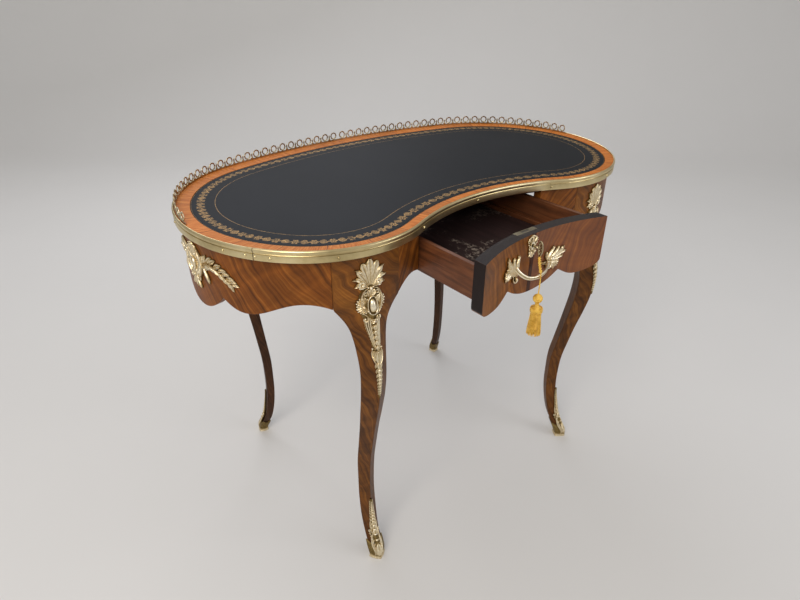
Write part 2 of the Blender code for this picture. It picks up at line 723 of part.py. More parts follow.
def make_gallery():
    reach = run_at_heading(1, 90)
    pitch = (reach - SEAT_GAP) / GALLERY_RINGS
    foot = TOP_HEIGHT + SEAT_GAP
    for name, start in (("left", -reach), ("right", SEAT_GAP)):
        marks = [start + pitch * i for i in range(GALLERY_RINGS + 1)]
        cells = []
        for low in range(GALLERY_RINGS):
            for cell in gallery_cell(0.0, pitch):
                cells.append([
                    (marks[low + (u >= pitch)] if u in (0.0, pitch) else marks[low] + u, z)
                    for u, z in cell
                ])
        skin = plate(
            cells,
            lambda u, z: (*edge(u, GALLERY_INSET), foot + z),
            lambda u, z: (*edge(u, GALLERY_INSET + GALLERY_THICKNESS), foot + z),
        )
        piece(f"gallery_{name}", skin, "edge_brass")


# Legs


class Leg:
    """A cabriole leg: a square shaft set cornerwise, flaring into a wing that lies in the wall."""

    def __init__(self, name, side, arc, sizes):
        heading, turn, stand, self.square, self.sweep, self.ridge = sizes
        self.name = name
        run = run_at_heading(arc, heading)
        self.run = run if side == RIGHT else 2 * HALF_RUN - run
        place, normal = edge_frame(self.run)
        self.foot = place + (stand - WALL_INSET) * normal
        angle = heading_of(normal) + side * math.radians(turn if arc == 1 else -turn)
        self.out = Vector((math.sin(angle), math.cos(angle)))
        self.across = Vector((self.out.y, -self.out.x))
        self.levels = self.find_levels()
        self.rings = [self.ring(level) for level in self.levels]

    def find_levels(self):
        low = SABOT_SOLE + SEAT_GAP
        flare = [share * LEG_SHAFT_HEIGHT for share, _, _ in FLARE_SHARES]
        count = round((flare[0] - low) / (LEG_STEP_SHARE * LEG_SHAFT_HEIGHT))
        return [low + (flare[0] - low) * i / count for i in range(count)] + flare + [WALL_TOP_Z]

    def shaft(self, level):
        """The square section, from the arris round by the right corner."""
        out, side = curved(LEG_SHARES, min(level / LEG_SHAFT_HEIGHT, LEG_SHARES[-1][0]))
        centre = self.foot + out * self.sweep * self.out
        half = side * self.square / math.sqrt(2)
        corners = [self.out, self.across, -self.out, -self.across]
        points = []
        for near, far in zip(corners, corners[1:] + corners[:1]):
            points += [centre + half * near.lerp(far, i / WING_STEPS) for i in range(WING_STEPS)]
        return points

    def wing(self, ridge):
        """The section in the wall, with the same order of points."""
        half = []
        for i in range(WING_STEPS + 1):
            reach = WING_REACH * i / WING_STEPS
            stand = ridge * max(0.0, 1 - i)
            half.append((reach, WALL_INSET - stand))
        half += [(WING_REACH, WALL_BACK), (BLOCK_REACH, WALL_BACK), (0.0, BLOCK_DEPTH)]
        whole = half + [(-reach, inset) for reach, inset in half[-2:0:-1]]
        return [edge(self.run + reach, inset) for reach, inset in whole]

    def ring(self, level):
        into, ridge = between(((-1.0, 0.0, 1.0),) + FLARE_SHARES + ((9.0, 1.0, 0.0),),
                              level / LEG_SHAFT_HEIGHT)
        wing = self.wing(ridge * self.ridge)
        return [a.lerp(b, into) for a, b in zip(self.shaft(level), wing)]

    def point(self, index, level):
        """A point on the leg's facets: one of the section's corners, at any level."""
        for low, high, ring_low, ring_high in zip(self.levels, self.levels[1:], self.rings, self.rings[1:]):
            if level <= high or high == self.levels[-1]:
                share = (level - low) / (high - low)
                return ring_low[index].lerp(ring_high[index], share)

    def facing(self, reach, level):
        """The place and normal on the two outer faces, at a distance from the arris."""
        count = len(self.rings[0])
        way = 1 if reach >= 0 else -1
        left = abs(reach)
        for i in range(WING_STEPS):
            a = self.point(i * way % count, level)
            b = self.point((i + 1) * way % count, level)
            length = (b - a).length
            if left <= length or i == WING_STEPS - 1:
                along = (b - a).normalized()
                normal = Vector((-along.y, along.x)) * way
                return a.lerp(b, left / length), normal
            left -= length

    def make(self):
        rings = [[(*p, level) for p in ring] for ring, level in zip(self.rings, self.levels)]
        piece(f"leg_{self.name}", loft(rings), "walnut", smooth=35)
        self.make_sabot()
        self.make_knee_mount()

    def make_sabot(self):
        count = len(self.rings[0])
        base = self.levels[0]
        tops = [SABOT_HEIGHT] * count
        tops[0] = SABOT_TONGUE
        tops[1] = tops[-1] = (SABOT_HEIGHT + SABOT_TONGUE) / 2
        centre = self.foot

        def skin_ring(share, stand, low):
            ring = []
            for i in range(count):
                level = low + (tops[i] - low) * share
                place = self.point(i, max(level, base))
                middle = sum((self.point(j, max(level, base)) for j in range(count)), Vector((0, 0)))
                outward = (place - middle / count).normalized()
                ring.append((*(place + stand * outward), level))
            return ring

        shares = [i / SABOT_RINGS for i in range(SABOT_RINGS + 1)]
        outer = [
            skin_ring(share, SABOT_GAP + SABOT_WALL + SABOT_SWELL * math.sin(math.pi * share), 0.0)
            for share in shares
        ]
        inner = [skin_ring(share, SABOT_GAP, base - SEAT_GAP) for share in reversed(shares)]
        piece(f"sabot_{self.name}", loft(outer + inner), "gilt_brass", smooth=50)

    def make_knee_mount(self):
        """A tapering shield over the arris, following the leg's faces."""
        rings = []
        own = {KNEE_TIP_Z + share * (KNEE_TOP_Z - KNEE_TIP_Z) for share, _ in KNEE_SHARES}
        shared = {level for level in self.levels if KNEE_TIP_Z < level < KNEE_TOP_Z}
        near = {a for a in own for b in shared if abs(a - b) < OVERRUN and a not in (KNEE_TIP_Z, KNEE_TOP_Z)}
        for level in sorted((own - near) | shared):
            (share,) = between(KNEE_SHARES, (level - KNEE_TIP_Z) / (KNEE_TOP_Z - KNEE_TIP_Z))
            half = share * KNEE_HALF_WIDTH
            back, front = [], []
            for column, dome in zip(KNEE_COLUMN_SHARES, KNEE_DOME_SHARES):
                place, normal = self.facing(column * half, level)
                if column == 0.0:
                    normal = self.out
                stand = KNEE_GAP + KNEE_EDGE + KNEE_RELIEF * dome * min(1.0, 2 * share)
                back.append((*(place + KNEE_GAP * normal), level))
                front.append((*(place + stand * normal), level))
            rings.append(back + front[::-1])
        piece(f"knee_mount_{self.name}", loft(rings), "gilt_brass", smooth=60)


FRONT_SIZES = (FRONT_LEG_HEADING, FRONT_ARRIS_TURN, FRONT_LEG_STAND,
               FRONT_LEG_SIDE, FRONT_LEG_SWEEP, FRONT_RIDGE_STAND)
BACK_SIZES = (BACK_LEG_HEADING, BACK_ARRIS_TURN, BACK_LEG_STAND,
              BACK_LEG_SIDE, BACK_LEG_SWEEP, BACK_RIDGE_STAND)
LEGS = [
    Leg("front_left", LEFT, 2, FRONT_SIZES),
    Leg("front_right", RIGHT, 2, FRONT_SIZES),
    Leg("back_right", RIGHT, 1, BACK_SIZES),
    Leg("back_left", LEFT, 1, BACK_SIZES),
]
LEG_RUNS = {leg.name: leg.run for leg in LEGS}


# Aprons and front panels


def apron_low(run, end_run, wing_reach):
    """Lower line of an end apron: a deep lobe, a cusp, a shoulder lobe and an arch to the leg."""
    away = abs(run - end_run)
    if away < APRON_CUSP_REACH:
        rise = (away / APRON_CUSP_REACH) ** LOBE_POWER
        return APRON_LOBE_Z + (APRON_CUSP_Z - APRON_LOBE_Z) * rise
    if away < APRON_SHOULDER_REACH:
        share = (away - APRON_CUSP_REACH) / (APRON_SHOULDER_REACH - APRON_CUSP_REACH)
        return APRON_SHOULDER_Z + (APRON_CUSP_Z - APRON_SHOULDER_Z) * (1 - share) ** 2
    if away < APRON_ARCH_REACH:
        share = (away - APRON_SHOULDER_REACH) / (APRON_ARCH_REACH - APRON_SHOULDER_REACH)
        return APRON_SHOULDER_Z + (APRON_ARCH_Z - APRON_SHOULDER_Z) * ease(share)
    share = (away - APRON_ARCH_REACH) / (wing_reach - APRON_ARCH_REACH)
    return APRON_ARCH_Z + (WING_Z - APRON_ARCH_Z) * min(1.0, share) ** 2


def back_low(run, wing_reach):
    """Lower line of the back apron, with a centre lobe and one to each side."""
    away = abs(run)
    if away < BACK_CUSP_REACH:
        rise = (away / BACK_CUSP_REACH) ** LOBE_POWER
        return BACK_LOBE_Z + (APRON_CUSP_Z - BACK_LOBE_Z) * rise
    if away < BACK_SIDE_LOBE_REACH:
        share = (away - BACK_CUSP_REACH) / (BACK_SIDE_LOBE_REACH - BACK_CUSP_REACH)
        return BACK_SIDE_LOBE_Z + (APRON_CUSP_Z - BACK_SIDE_LOBE_Z) * (1 - share) ** 2
    share = (away - BACK_SIDE_LOBE_REACH) / (wing_reach - BACK_SIDE_LOBE_REACH)
    return BACK_SIDE_LOBE_Z + (WING_Z - BACK_SIDE_LOBE_Z) * ease(share)


def make_aprons():
    end = run_at_heading(1, 90)
    clear = WING_REACH + SEAT_GAP
    reach = LEG_RUNS["front_right"] - clear - end
    for name, middle, start, stop in (
        ("right", end, LEG_RUNS["back_right"] + clear, LEG_RUNS["front_right"] - clear),
        ("left", 2 * HALF_RUN - end, LEG_RUNS["front_left"] + clear, LEG_RUNS["back_left"] - clear),
    ):
        runs = stretch(start, stop, APRON_STEP)
        skin = wall_skin(runs, lambda run: apron_low(run, middle, reach), WALL_TOP_Z, WALL_INSET, WALL_BACK)
        piece(f"apron_{name}", skin, "walnut")
        make_end_mount(name, middle, runs)
    reach = LEG_RUNS["back_right"] - clear
    runs = stretch(-reach, reach, 2 * APRON_STEP)
    skin = wall_skin(runs, lambda run: back_low(run, reach), WALL_TOP_Z, WALL_INSET, WALL_BACK)
    piece("apron_back", skin, "walnut")


def make_end_mount(name, middle, corners):
    """A winged cartouche on the middle of an end apron."""
    cells = []
    for left, right in zip(END_MOUNT_SHARES, END_MOUNT_SHARES[1:]):
        levels = [
            tuple(END_MOUNT_LOW_Z + share * END_MOUNT_HEIGHT for share in shares)
            for _, *shares in (left, right)
        ]
        runs = [middle + END_MOUNT_REACH * share[0] for share in (left, right)]
        centre = [(low + high) / 2 for low, high in levels]
        cells.append([(runs[0], levels[0][0]), (runs[1], levels[1][0]),
                      (runs[1], centre[1]), (runs[0], centre[0])])
        cells.append([(runs[0], centre[0]), (runs[1], centre[1]),
                      (runs[1], levels[1][1]), (runs[0], levels[0][1])])
    middles = {point for cell in cells[::2] for point in cell[2:]}

    def face(run, z, stand):
        return (*on_facet(run, corners, WALL_INSET - MOUNT_GAP - stand), z)

    def front(run, z):
        return face(run, z, END_MOUNT_RELIEF if (run, z) in middles else KNEE_EDGE)

    skin = plate(cells, front, lambda run, z: face(run, z, 0.0))
    piece(f"end_mount_{name}", skin, "gilt_brass", smooth=60)


def make_front_panels():
    """The fixed stretches of wall between the drawer opening and the front legs."""
    for name, side in (("left", LEFT), ("right", RIGHT)):
        jamb = abs(DRAWER_X + side * OPENING_HALF)
        leg_end = LEG_RUNS["front_right"] + WING_REACH + SEAT_GAP
        faces = [run_at_front(jamb, inset) for inset in (WALL_INSET, WALL_BACK)]
        count = max(2, round((faces[0] - leg_end) / APRON_STEP))
        rings = []
        for i in range(count + 1):
            share = i / count
            if share < PANEL_ARCH_SHARE:
                low = PANEL_EDGE_Z + (PANEL_ARCH_Z - PANEL_EDGE_Z) * math.sin(
                    math.pi / 2 * share / PANEL_ARCH_SHARE)
            else:
                fall = (share - PANEL_ARCH_SHARE) / (1 - PANEL_ARCH_SHARE)
                low = PANEL_ARCH_Z + (WING_Z - PANEL_ARCH_Z) * fall ** 2
            near, far = (
                edge(face + (leg_end - face) * share, inset)
                for face, inset in zip(faces, (WALL_INSET, WALL_BACK))
            )
            rings.append([
                (side * near.x, near.y, low), (side * near.x, near.y, WALL_TOP_Z),
                (side * far.x, far.y, WALL_TOP_Z), (side * far.x, far.y, low),
            ])
        piece(f"front_panel_{name}", loft(rings), "walnut")


# Frame pieces that carry the drawer


def lengthwise(name, side, x_pair, z_pair, front_inset, finish="secondary_wood"):
    """A rail along Y from a line in the front wall to the back apron."""
    inner, outer = (DRAWER_X + side * x for x in x_pair)
    front = [waist_y(x, front_inset + SEAT_GAP) for x in (inner, outer)]
    back = back_y(outer, WALL_BACK + SEAT_GAP) - SEAT_GAP
    outline = [(inner, front[0]), (outer, front[1]), (outer, back), (inner, back)]
    piece(name, prism(outline, *z_pair), finish)


def make_frame():
    front_back = FRONT_INSET + FRONT_THICKNESS
    runner_top = SIDE_BOTTOM_Z - SEAT_GAP
    guide_out = GUIDE_IN + RUNNER_WIDTH - (GUIDE_IN - SIDE_IN)
    for name, side in (("left", LEFT), ("right", RIGHT)):
        lengthwise(f"drawer_runner_{name}", side, (SIDE_IN, guide_out),
                   (runner_top - RUNNER_HEIGHT, runner_top), front_back + SLIDE_GAP)
        lengthwise(f"drawer_guide_{name}", side, (GUIDE_IN, guide_out),
                   (SIDE_BOTTOM_Z, SIDE_BOTTOM_Z + GUIDE_HEIGHT), WALL_BACK)
        lengthwise(f"kicker_{name}", side, (KICKER_IN, KICKER_OUT),
                   (SIDE_TOP_Z + SLIDE_GAP, WALL_TOP_Z), RAIL_INSET + RAIL_WIDTH)
        stop_y = BACK_OF_SHUT_DRAWER + SLIDE_GAP
        stop_z = runner_top + SEAT_GAP
        stop = block((DRAWER_X + side * SIDE_IN, DRAWER_X + side * SIDE_OUT),
                     (stop_y, stop_y + STOP_LENGTH), (stop_z, stop_z + STOP_HEIGHT))
        piece(f"drawer_stop_{name}", stop, "secondary_wood")
        batten = block((side * BATTEN_X - BATTEN_WIDTH / 2, side * BATTEN_X + BATTEN_WIDTH / 2),
                       (BATTEN_FRONT_Y, BATTEN_BACK_Y), (WALL_TOP_Z - BATTEN_HEIGHT, WALL_TOP_Z))
        piece(f"top_batten_{name}", batten, "secondary_wood")
    make_top_rail()


def make_top_rail():
    """The thin rail over the opening, with the mortise that the lock's bolt enters."""
    half = OPENING_HALF - SEAT_GAP
    rings = []
    for i in range(ARC_STEPS + 1):
        x = DRAWER_X + half * (2 * i / ARC_STEPS - 1)
        front, back = (waist_y(x, inset) for inset in (RAIL_INSET, RAIL_INSET + RAIL_WIDTH))
        rings.append([
            (x, front, RAIL_BOTTOM_Z), (x, front, WALL_TOP_Z),
            (x, back, WALL_TOP_Z), (x, back, RAIL_BOTTOM_Z),
        ])
    rail = piece("top_rail", loft(rings), "walnut")
    middle = bolt_y() + DRAWER_OPEN
    half_width = BOLT_HALF + 2 * SLIDE_GAP
    half_depth = BOLT_THICKNESS / 2 + 2 * SLIDE_GAP
    mortise = block((KEY_X - half_width, KEY_X + half_width), (middle - half_depth, middle + half_depth),
                    (RAIL_BOTTOM_Z - OVERRUN, WALL_TOP_Z + OVERRUN))
    combine(rail, mortise, "DIFFERENCE", "mortise")


# Drawer


def front_y(x, depth=0.0):
    """Y of a surface that far behind the open drawer's face."""
    return waist_y(x, FRONT_INSET + depth) - DRAWER_OPEN


def front_low(away):
    """Lower line of the drawer front: a centre lobe, a cusp and a rounded end lobe."""
    away = abs(away)
    if away < FRONT_CUSP_REACH:
        rise = (away / FRONT_CUSP_REACH) ** LOBE_POWER
        return FRONT_LOBE_Z + (FRONT_CUSP_Z - FRONT_LOBE_Z) * rise
    if away < FRONT_SIDE_LOBE_REACH:
        share = (away - FRONT_CUSP_REACH) / (FRONT_SIDE_LOBE_REACH - FRONT_CUSP_REACH)
        return FRONT_SIDE_LOBE_Z + (FRONT_CUSP_Z - FRONT_SIDE_LOBE_Z) * (1 - share) ** 2
    share = min(1.0, (away - FRONT_SIDE_LOBE_REACH) / (FRONT_HALF - FRONT_SIDE_LOBE_REACH))
    return FRONT_SIDE_LOBE_Z + (FRONT_END_Z - FRONT_SIDE_LOBE_Z) * (1 - math.sqrt(1 - share ** 2))


def make_drawer_front():
    rings = []
    for i in range(FRONT_STEPS + 1):
        away = FRONT_HALF * math.sin(math.pi / 2 * (2 * i / FRONT_STEPS - 1))
        x, low = DRAWER_X + away, front_low(away)
        near, far = front_y(x), front_y(x, FRONT_THICKNESS)
        rings.append([(x, near, low), (x, near, FRONT_TOP_Z), (x, far, FRONT_TOP_Z), (x, far, low)])
    front = piece("drawer_front", loft(rings), "walnut", "drawer_travel")
    half = CASE_HALF + SEAT_GAP
    pocket = block((KEY_X - half, KEY_X + half), (case_y() - SEAT_GAP, FACE_Y + FRONT_THICKNESS + OVERRUN),
                   (CASE_BOTTOM_Z - SEAT_GAP, FRONT_TOP_Z + OVERRUN))
    combine(front, pocket, "DIFFERENCE", "lock_pocket")
    keyhole = rod(KEY_X, KEY_Z, (FACE_Y - OVERRUN, case_y() + OVERRUN), KEYHOLE_RADIUS, SHAFT_SIDES)
    combine(front, keyhole, "DIFFERENCE", "keyhole")
    for label, x, z in pull_screws():
        hole = rod(x, z, (front_y(x) - OVERRUN, front_y(x, FRONT_THICKNESS) + OVERRUN),
                   SCREW_RADIUS + SCREW_FIT, SCREW_SIDES)
        combine(front, hole, "DIFFERENCE", f"{label}_screw_hole")


def make_drawer_box():
    back = FRONT_OF_DRAWER + DRAWER_LENGTH
    behind = FRONT_THICKNESS + SEAT_GAP
    for name, side in (("left", LEFT), ("right", RIGHT)):
        inner, outer = (DRAWER_X + side * x for x in (SIDE_IN, SIDE_OUT))
        outline = [(inner, front_y(inner, behind)), (outer, front_y(outer, behind)),
                   (outer, back), (inner, back)]
        side_board = prism(outline, SIDE_BOTTOM_Z, SIDE_TOP_Z)
        piece(f"drawer_side_{name}", side_board, "drawer_lining", "drawer_travel")
    panel_bottom = SIDE_BOTTOM_Z + PANEL_RAISE
    panel_top = panel_bottom + PANEL_THICKNESS
    half = SIDE_IN - SEAT_GAP
    curve = [DRAWER_X + half * (2 * i / ARC_STEPS - 1) for i in range(ARC_STEPS + 1)]
    outline = [(x, front_y(x, behind)) for x in curve] + [(curve[-1], back), (curve[0], back)]
    piece("drawer_bottom", prism(outline, panel_bottom, panel_top), "drawer_lining", "drawer_travel")
    back_panel = block((DRAWER_X - half, DRAWER_X + half), (back - SIDE_THICKNESS, back),
                       (panel_top + SEAT_GAP, SIDE_TOP_Z - BACK_DROP))
    piece("drawer_back", back_panel, "drawer_lining", "drawer_travel")
    slip_bottom = panel_top + SEAT_GAP
    for name, side in (("left", LEFT), ("right", RIGHT)):
        outer = DRAWER_X + side * half
        inner = outer - side * SLIP_WIDTH
        slip_back = back - SIDE_THICKNESS - SEAT_GAP
        outline = [(inner, front_y(inner, behind)), (outer, front_y(outer, behind)),
                   (outer, slip_back), (inner, slip_back)]
        piece(f"drawer_slip_{name}", prism(outline, slip_bottom, slip_bottom + SLIP_HEIGHT),
              "drawer_lining", "drawer_travel")


# Lock, key and escutcheon


def case_y():
    """Y of the lock case's front, let into the back of the drawer front."""
    return FACE_Y + FRONT_THICKNESS - CAP_THICKNESS - SEAT_GAP - CASE_DEPTH


def bolt_y():
    """Y of the middle of the bolt."""
    return case_y() + (CASE_WALL + CASE_DEPTH) / 2


def make_lock():
    case_back = case_y() + CASE_DEPTH
    case = block((KEY_X - CASE_HALF, KEY_X + CASE_HALF), (case_y(), case_back), (CASE_BOTTOM_Z, FRONT_TOP_Z))
    case = piece("lock_case", case, "steel", "drawer_travel")
    room = CASE_HALF - CASE_WALL
    cavity = block((KEY_X - room, KEY_X + room), (case_y() + CASE_WALL, case_back + OVERRUN),
                   (CASE_BOTTOM_Z + CASE_WALL, FRONT_TOP_Z - SELVEDGE))
    combine(case, cavity, "DIFFERENCE", "cavity")
    slot_half = BOLT_HALF + SLIDE_GAP
    slot_depth = BOLT_THICKNESS / 2 + SLIDE_GAP
    slot = block((KEY_X - slot_half, KEY_X + slot_half), (bolt_y() - slot_depth, bolt_y() + slot_depth),
                 (FRONT_TOP_Z - SELVEDGE - OVERRUN / 2, FRONT_TOP_Z + OVERRUN))
    combine(case, slot, "DIFFERENCE", "bolt_slot")
    keyhole = rod(KEY_X, KEY_Z, (case_y() - OVERRUN, case_y() + CASE_WALL + SELVEDGE / 2),
                  KEYHOLE_RADIUS, SHAFT_SIDES)
    combine(case, keyhole, "DIFFERENCE", "keyhole")
    cap = block((KEY_X - CASE_HALF, KEY_X + CASE_HALF),
                (case_back + SEAT_GAP, case_back + SEAT_GAP + CAP_THICKNESS), (CASE_BOTTOM_Z, FRONT_TOP_Z))
    piece("lock_cap", cap, "steel", "drawer_travel")
    bolt_top = FRONT_TOP_Z - SLIDE_GAP
    bolt = block((KEY_X - BOLT_HALF, KEY_X + BOLT_HALF),
                 (bolt_y() - BOLT_THICKNESS / 2, bolt_y() + BOLT_THICKNESS / 2),
                 (bolt_top - BOLT_HEIGHT, bolt_top))
    piece("lock_bolt", bolt, "steel", "bolt_travel")


def make_key():
    """A bow that stands upright, its stem through the keyhole, and a bit under the bolt."""
    bow_y = FACE_Y - BOW_STAND
    rings = []
    for i in range(BOW_STEPS):
        turn = math.tau * i / BOW_STEPS
        ring = []
        for j in range(BOW_SIDES):
            roll = math.tau * j / BOW_SIDES
            reach = BOW_WIRE * math.cos(roll)
            ring.append((
                KEY_X + BOW_WIRE * math.sin(roll),
                bow_y + (BOW_HALF_DEPTH + reach) * math.cos(turn),
                KEY_Z + (BOW_HALF_HEIGHT + reach) * math.sin(turn),
            ))
        rings.append(ring)
    key = piece("key", loft(rings, loop=True), "gilt_brass", "key_axis", smooth=50)
    stem_end = bolt_y() + BIT_LENGTH / 2
    stem = rod(KEY_X, KEY_Z, (bow_y + BOW_HALF_DEPTH, stem_end), STEM_RADIUS, SHAFT_SIDES)
    combine(key, stem, "UNION", "stem")
    bit = block((KEY_X - BIT_WIDTH / 2, KEY_X + BIT_WIDTH / 2),
                (bolt_y() - BIT_LENGTH / 2, stem_end - SEAT_GAP), (KEY_Z - BIT_REACH, KEY_Z))
    combine(key, bit, "UNION", "bit")


def make_escutcheon():
    """A pierced keyhole plate with a scalloped rim and a tail."""
    rim, hole = [], []
    for share, heading in ESCUTCHEON_SHARES:
        angle = math.radians(heading)
        rim.append((KEY_X + share * ESCUTCHEON_HALF_WIDTH * math.cos(angle),
                    KEY_Z + share * ESCUTCHEON_RISE * math.sin(angle)))
        hole.append((KEY_X + KEYHOLE_RADIUS * math.cos(angle), KEY_Z + KEYHOLE_RADIUS * math.sin(angle)))
    count = len(rim)
    cells = [[rim[i - 1], rim[i], hole[i], hole[i - 1]] for i in range(count)]

    def face(x, z, stand):
        return (x, front_y(x) - MOUNT_GAP - stand, z)

    edges = set(rim)
    thick, thin = ESCUTCHEON_THICKNESS, KNEE_EDGE
    skin = plate(cells, lambda x, z: face(x, z, thin if (x, z) in edges else thick),
                 lambda x, z: face(x, z, 0.0))
    piece("escutcheon", skin, "gilt_brass", "drawer_travel")


# Pull


def leaf_skin(x, z, shares):
    """A domed spray with a toothed rim, lying along the drawer front."""
    rim = [
        (x + share * LEAF_SIZE * math.cos(math.radians(heading)),
         z + share * LEAF_SIZE * math.sin(math.radians(heading)))
        for share, heading in shares
    ]
    count = len(rim)
    cells = [[(x, z), rim[i - 1], rim[i]] for i in range(count)]

    def face(px, pz, stand):
        return (px, front_y(px) - PULL_LIFT - stand, pz)

    return plate(cells, lambda px, pz: face(px, pz, LEAF_RELIEF if (px, pz) == (x, z) else LEAF_EDGE),
                 lambda px, pz: face(px, pz, 0.0))


def pull_screws():
    """Label, x and z of the two screws, one behind each spray."""
    return (("left", LEFT_LEAF_X, SCREW_Z), ("right", RIGHT_LEAF_X, SCREW_Z))


def make_pull():
    spokes = [math.tau * i / BAIL_SIDES for i in range(BAIL_SIDES)]
    points = []
    for along, out, drop in BAIL_SHARES:
        x = KEY_X + along * PULL_SPAN
        points.append(Vector((x, front_y(x) - out * BAIL_STAND, PULL_Z - drop * BAIL_DROP)))
    rings = []
    for i, point in enumerate(points):
        run = (points[min(i + 1, len(points) - 1)] - points[max(i - 1, 0)]).normalized()
        side = run.cross(Vector((0, 0, 1))).normalized()
        up = side.cross(run).normalized()
        rings.append([
            point + BAIL_HALF_DEPTH * math.cos(a) * side + BAIL_HALF_HEIGHT * math.sin(a) * up
            for a in spokes
        ])
    pull = piece("drawer_pull", loft(rings), "gilt_brass", "drawer_travel", smooth=50)
    combine(pull, leaf_skin(LEFT_LEAF_X, LEFT_LEAF_Z, LEFT_LEAF_SHARES), "UNION", "left_spray")
    combine(pull, leaf_skin(RIGHT_LEAF_X, RIGHT_LEAF_Z, RIGHT_LEAF_SHARES), "UNION", "right_spray")
    for label, x, z in pull_screws():
        tip = max(front_y(x + r) for r in (-SCREW_RADIUS, SCREW_RADIUS)) - PULL_LIFT + SEAT_GAP
        head = max(front_y(x + r, FRONT_THICKNESS) for r in (-SCREW_HEAD_RADIUS, SCREW_HEAD_RADIUS))
        head += SEAT_GAP
        profile = [(SCREW_RADIUS, tip), (SCREW_RADIUS, head), (SCREW_HEAD_RADIUS, head),
                   (SCREW_HEAD_RADIUS, head + SCREW_HEAD_HEIGHT)]
        turns = [math.tau * i / SCREW_SIDES for i in range(SCREW_SIDES)]
        rings = [[(x + r * math.cos(a), y, z + r * math.sin(a)) for a in turns] for r, y in profile]
        piece(f"pull_screw_{label}", loft(rings), "steel", "drawer_travel")


# Cord and tassel


def cord_line():
    """The cord's centre line, from the bow over the front of the bail to the tassel."""
    top = Vector((KEY_X, FACE_Y - BOW_STAND, CORD_TOP_Z))
    foot = Vector((KEY_X, FACE_Y - CORD_STAND, TASSEL_TOP_Z + SEAT_GAP))
    points = []
    for i in range(CORD_POINTS):
        share = i / (CORD_POINTS - 1)
        out = ease(share / CORD_BEND_SHARE)
        points.append(Vector((KEY_X, top.y + (foot.y - top.y) * out, top.z + (foot.z - top.z) * share)))
    return points


def make_cord_and_tassel():
    line = cord_line()
    curve = bpy.data.curves.new("key_cord", "CURVE")
    curve.dimensions = "3D"
    curve.bevel_depth = CORD_RADIUS
    curve.bevel_resolution = 2
    curve.use_fill_caps = True
    spline = curve.splines.new("POLY")
    spline.points.add(len(line) - 1)
    for knot, point in zip(spline.points, line):
        knot.co = (*(point - PLACES["cord_pivot"]), 1.0)
    cord = bpy.data.objects.new("key_cord", curve)
    bpy.context.collection.objects.link(cord)
    cord.parent = CARRIERS["cord_pivot"]
    curve.materials.append(finish_of("gold_thread"))
    profile = [
        (share * TASSEL_RADIUS, TASSEL_TOP_Z - depth * TASSEL_LENGTH)
        for depth, share in TASSEL_SHARES
    ]
    tassel = turned(profile, (KEY_X, FACE_Y - CORD_STAND), TASSEL_SIDES)
    piece("tassel", tassel, "gold_thread", "cord_pivot", smooth=50)


def main():
    make_carriers()
    make_top()
    make_band()
    make_gallery()
    for leg in LEGS:
        leg.make()
    make_aprons()
    make_front_panels()
    make_frame()
    make_drawer_front()
    make_drawer_box()
    make_lock()
    make_key()
    make_escutcheon()
    make_pull()
    make_cord_and_tassel()


main()
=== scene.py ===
"""A kidney-shaped writing desk: its polished veneers, tooled leather, gilt castings and tassel.

Lengths are in metres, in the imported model's own frame: X along the desk, the front at -Y, Z up.
"""

import math
import random
from functools import cache, partial

import bmesh
import bpy
from bpy.props import FloatProperty, FloatVectorProperty, IntProperty, PointerProperty
from mathutils import Matrix, Vector


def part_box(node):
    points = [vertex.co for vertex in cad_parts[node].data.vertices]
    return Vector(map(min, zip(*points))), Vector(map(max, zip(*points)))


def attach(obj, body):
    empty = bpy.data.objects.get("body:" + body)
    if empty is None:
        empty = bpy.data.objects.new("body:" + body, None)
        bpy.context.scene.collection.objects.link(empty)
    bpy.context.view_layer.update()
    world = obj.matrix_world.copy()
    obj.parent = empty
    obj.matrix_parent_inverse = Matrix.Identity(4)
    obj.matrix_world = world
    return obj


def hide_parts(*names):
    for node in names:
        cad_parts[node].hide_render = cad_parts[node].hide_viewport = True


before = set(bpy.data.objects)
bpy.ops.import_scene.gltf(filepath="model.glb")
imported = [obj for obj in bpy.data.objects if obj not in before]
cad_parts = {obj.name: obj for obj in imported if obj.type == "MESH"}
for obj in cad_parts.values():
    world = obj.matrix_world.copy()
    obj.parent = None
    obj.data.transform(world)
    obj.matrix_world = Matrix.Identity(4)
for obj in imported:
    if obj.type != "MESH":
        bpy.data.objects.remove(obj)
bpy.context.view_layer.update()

bl_info = {
    "name": "Kidney desk finish",
    "version": (1, 0, 0),
    "blender": (4, 5, 0),
    "location": "3D View > Sidebar > Desk",
    "description": "Builds the finished surfaces of a kidney-shaped writing desk over its packed model",
    "category": "Object",
}

MM = 0.001
LEFT, RIGHT = -1.0, 1.0
UP = Vector((0.0, 0.0, 1.0))

# Heights and places that the frame gives
TOP_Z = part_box("top_banding")[1].z
BAND_LOW_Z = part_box("brass_edge_front")[0].z
BAND_HIGH_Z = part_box("brass_edge_front")[1].z
LEATHER_LOW_Z, LEATHER_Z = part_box("leather_inset")[0].z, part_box("leather_inset")[1].z
BACK_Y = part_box("top_banding")[1].y
WALL_TOP_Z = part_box("apron_left")[1].z
FRONT_TOP_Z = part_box("drawer_front")[1].z
GALLERY_LOW_Z, GALLERY_TOP_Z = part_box("gallery_left")[0].z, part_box("gallery_left")[1].z
KEY_X = (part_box("key")[0].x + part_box("key")[1].x) / 2
DRAWER_X = (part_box("drawer_front")[0].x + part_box("drawer_front")[1].x) / 2
FRONT_HALF = (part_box("drawer_front")[1].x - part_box("drawer_front")[0].x) / 2
CLEAR = 0.3 * MM  # between pieces that touch

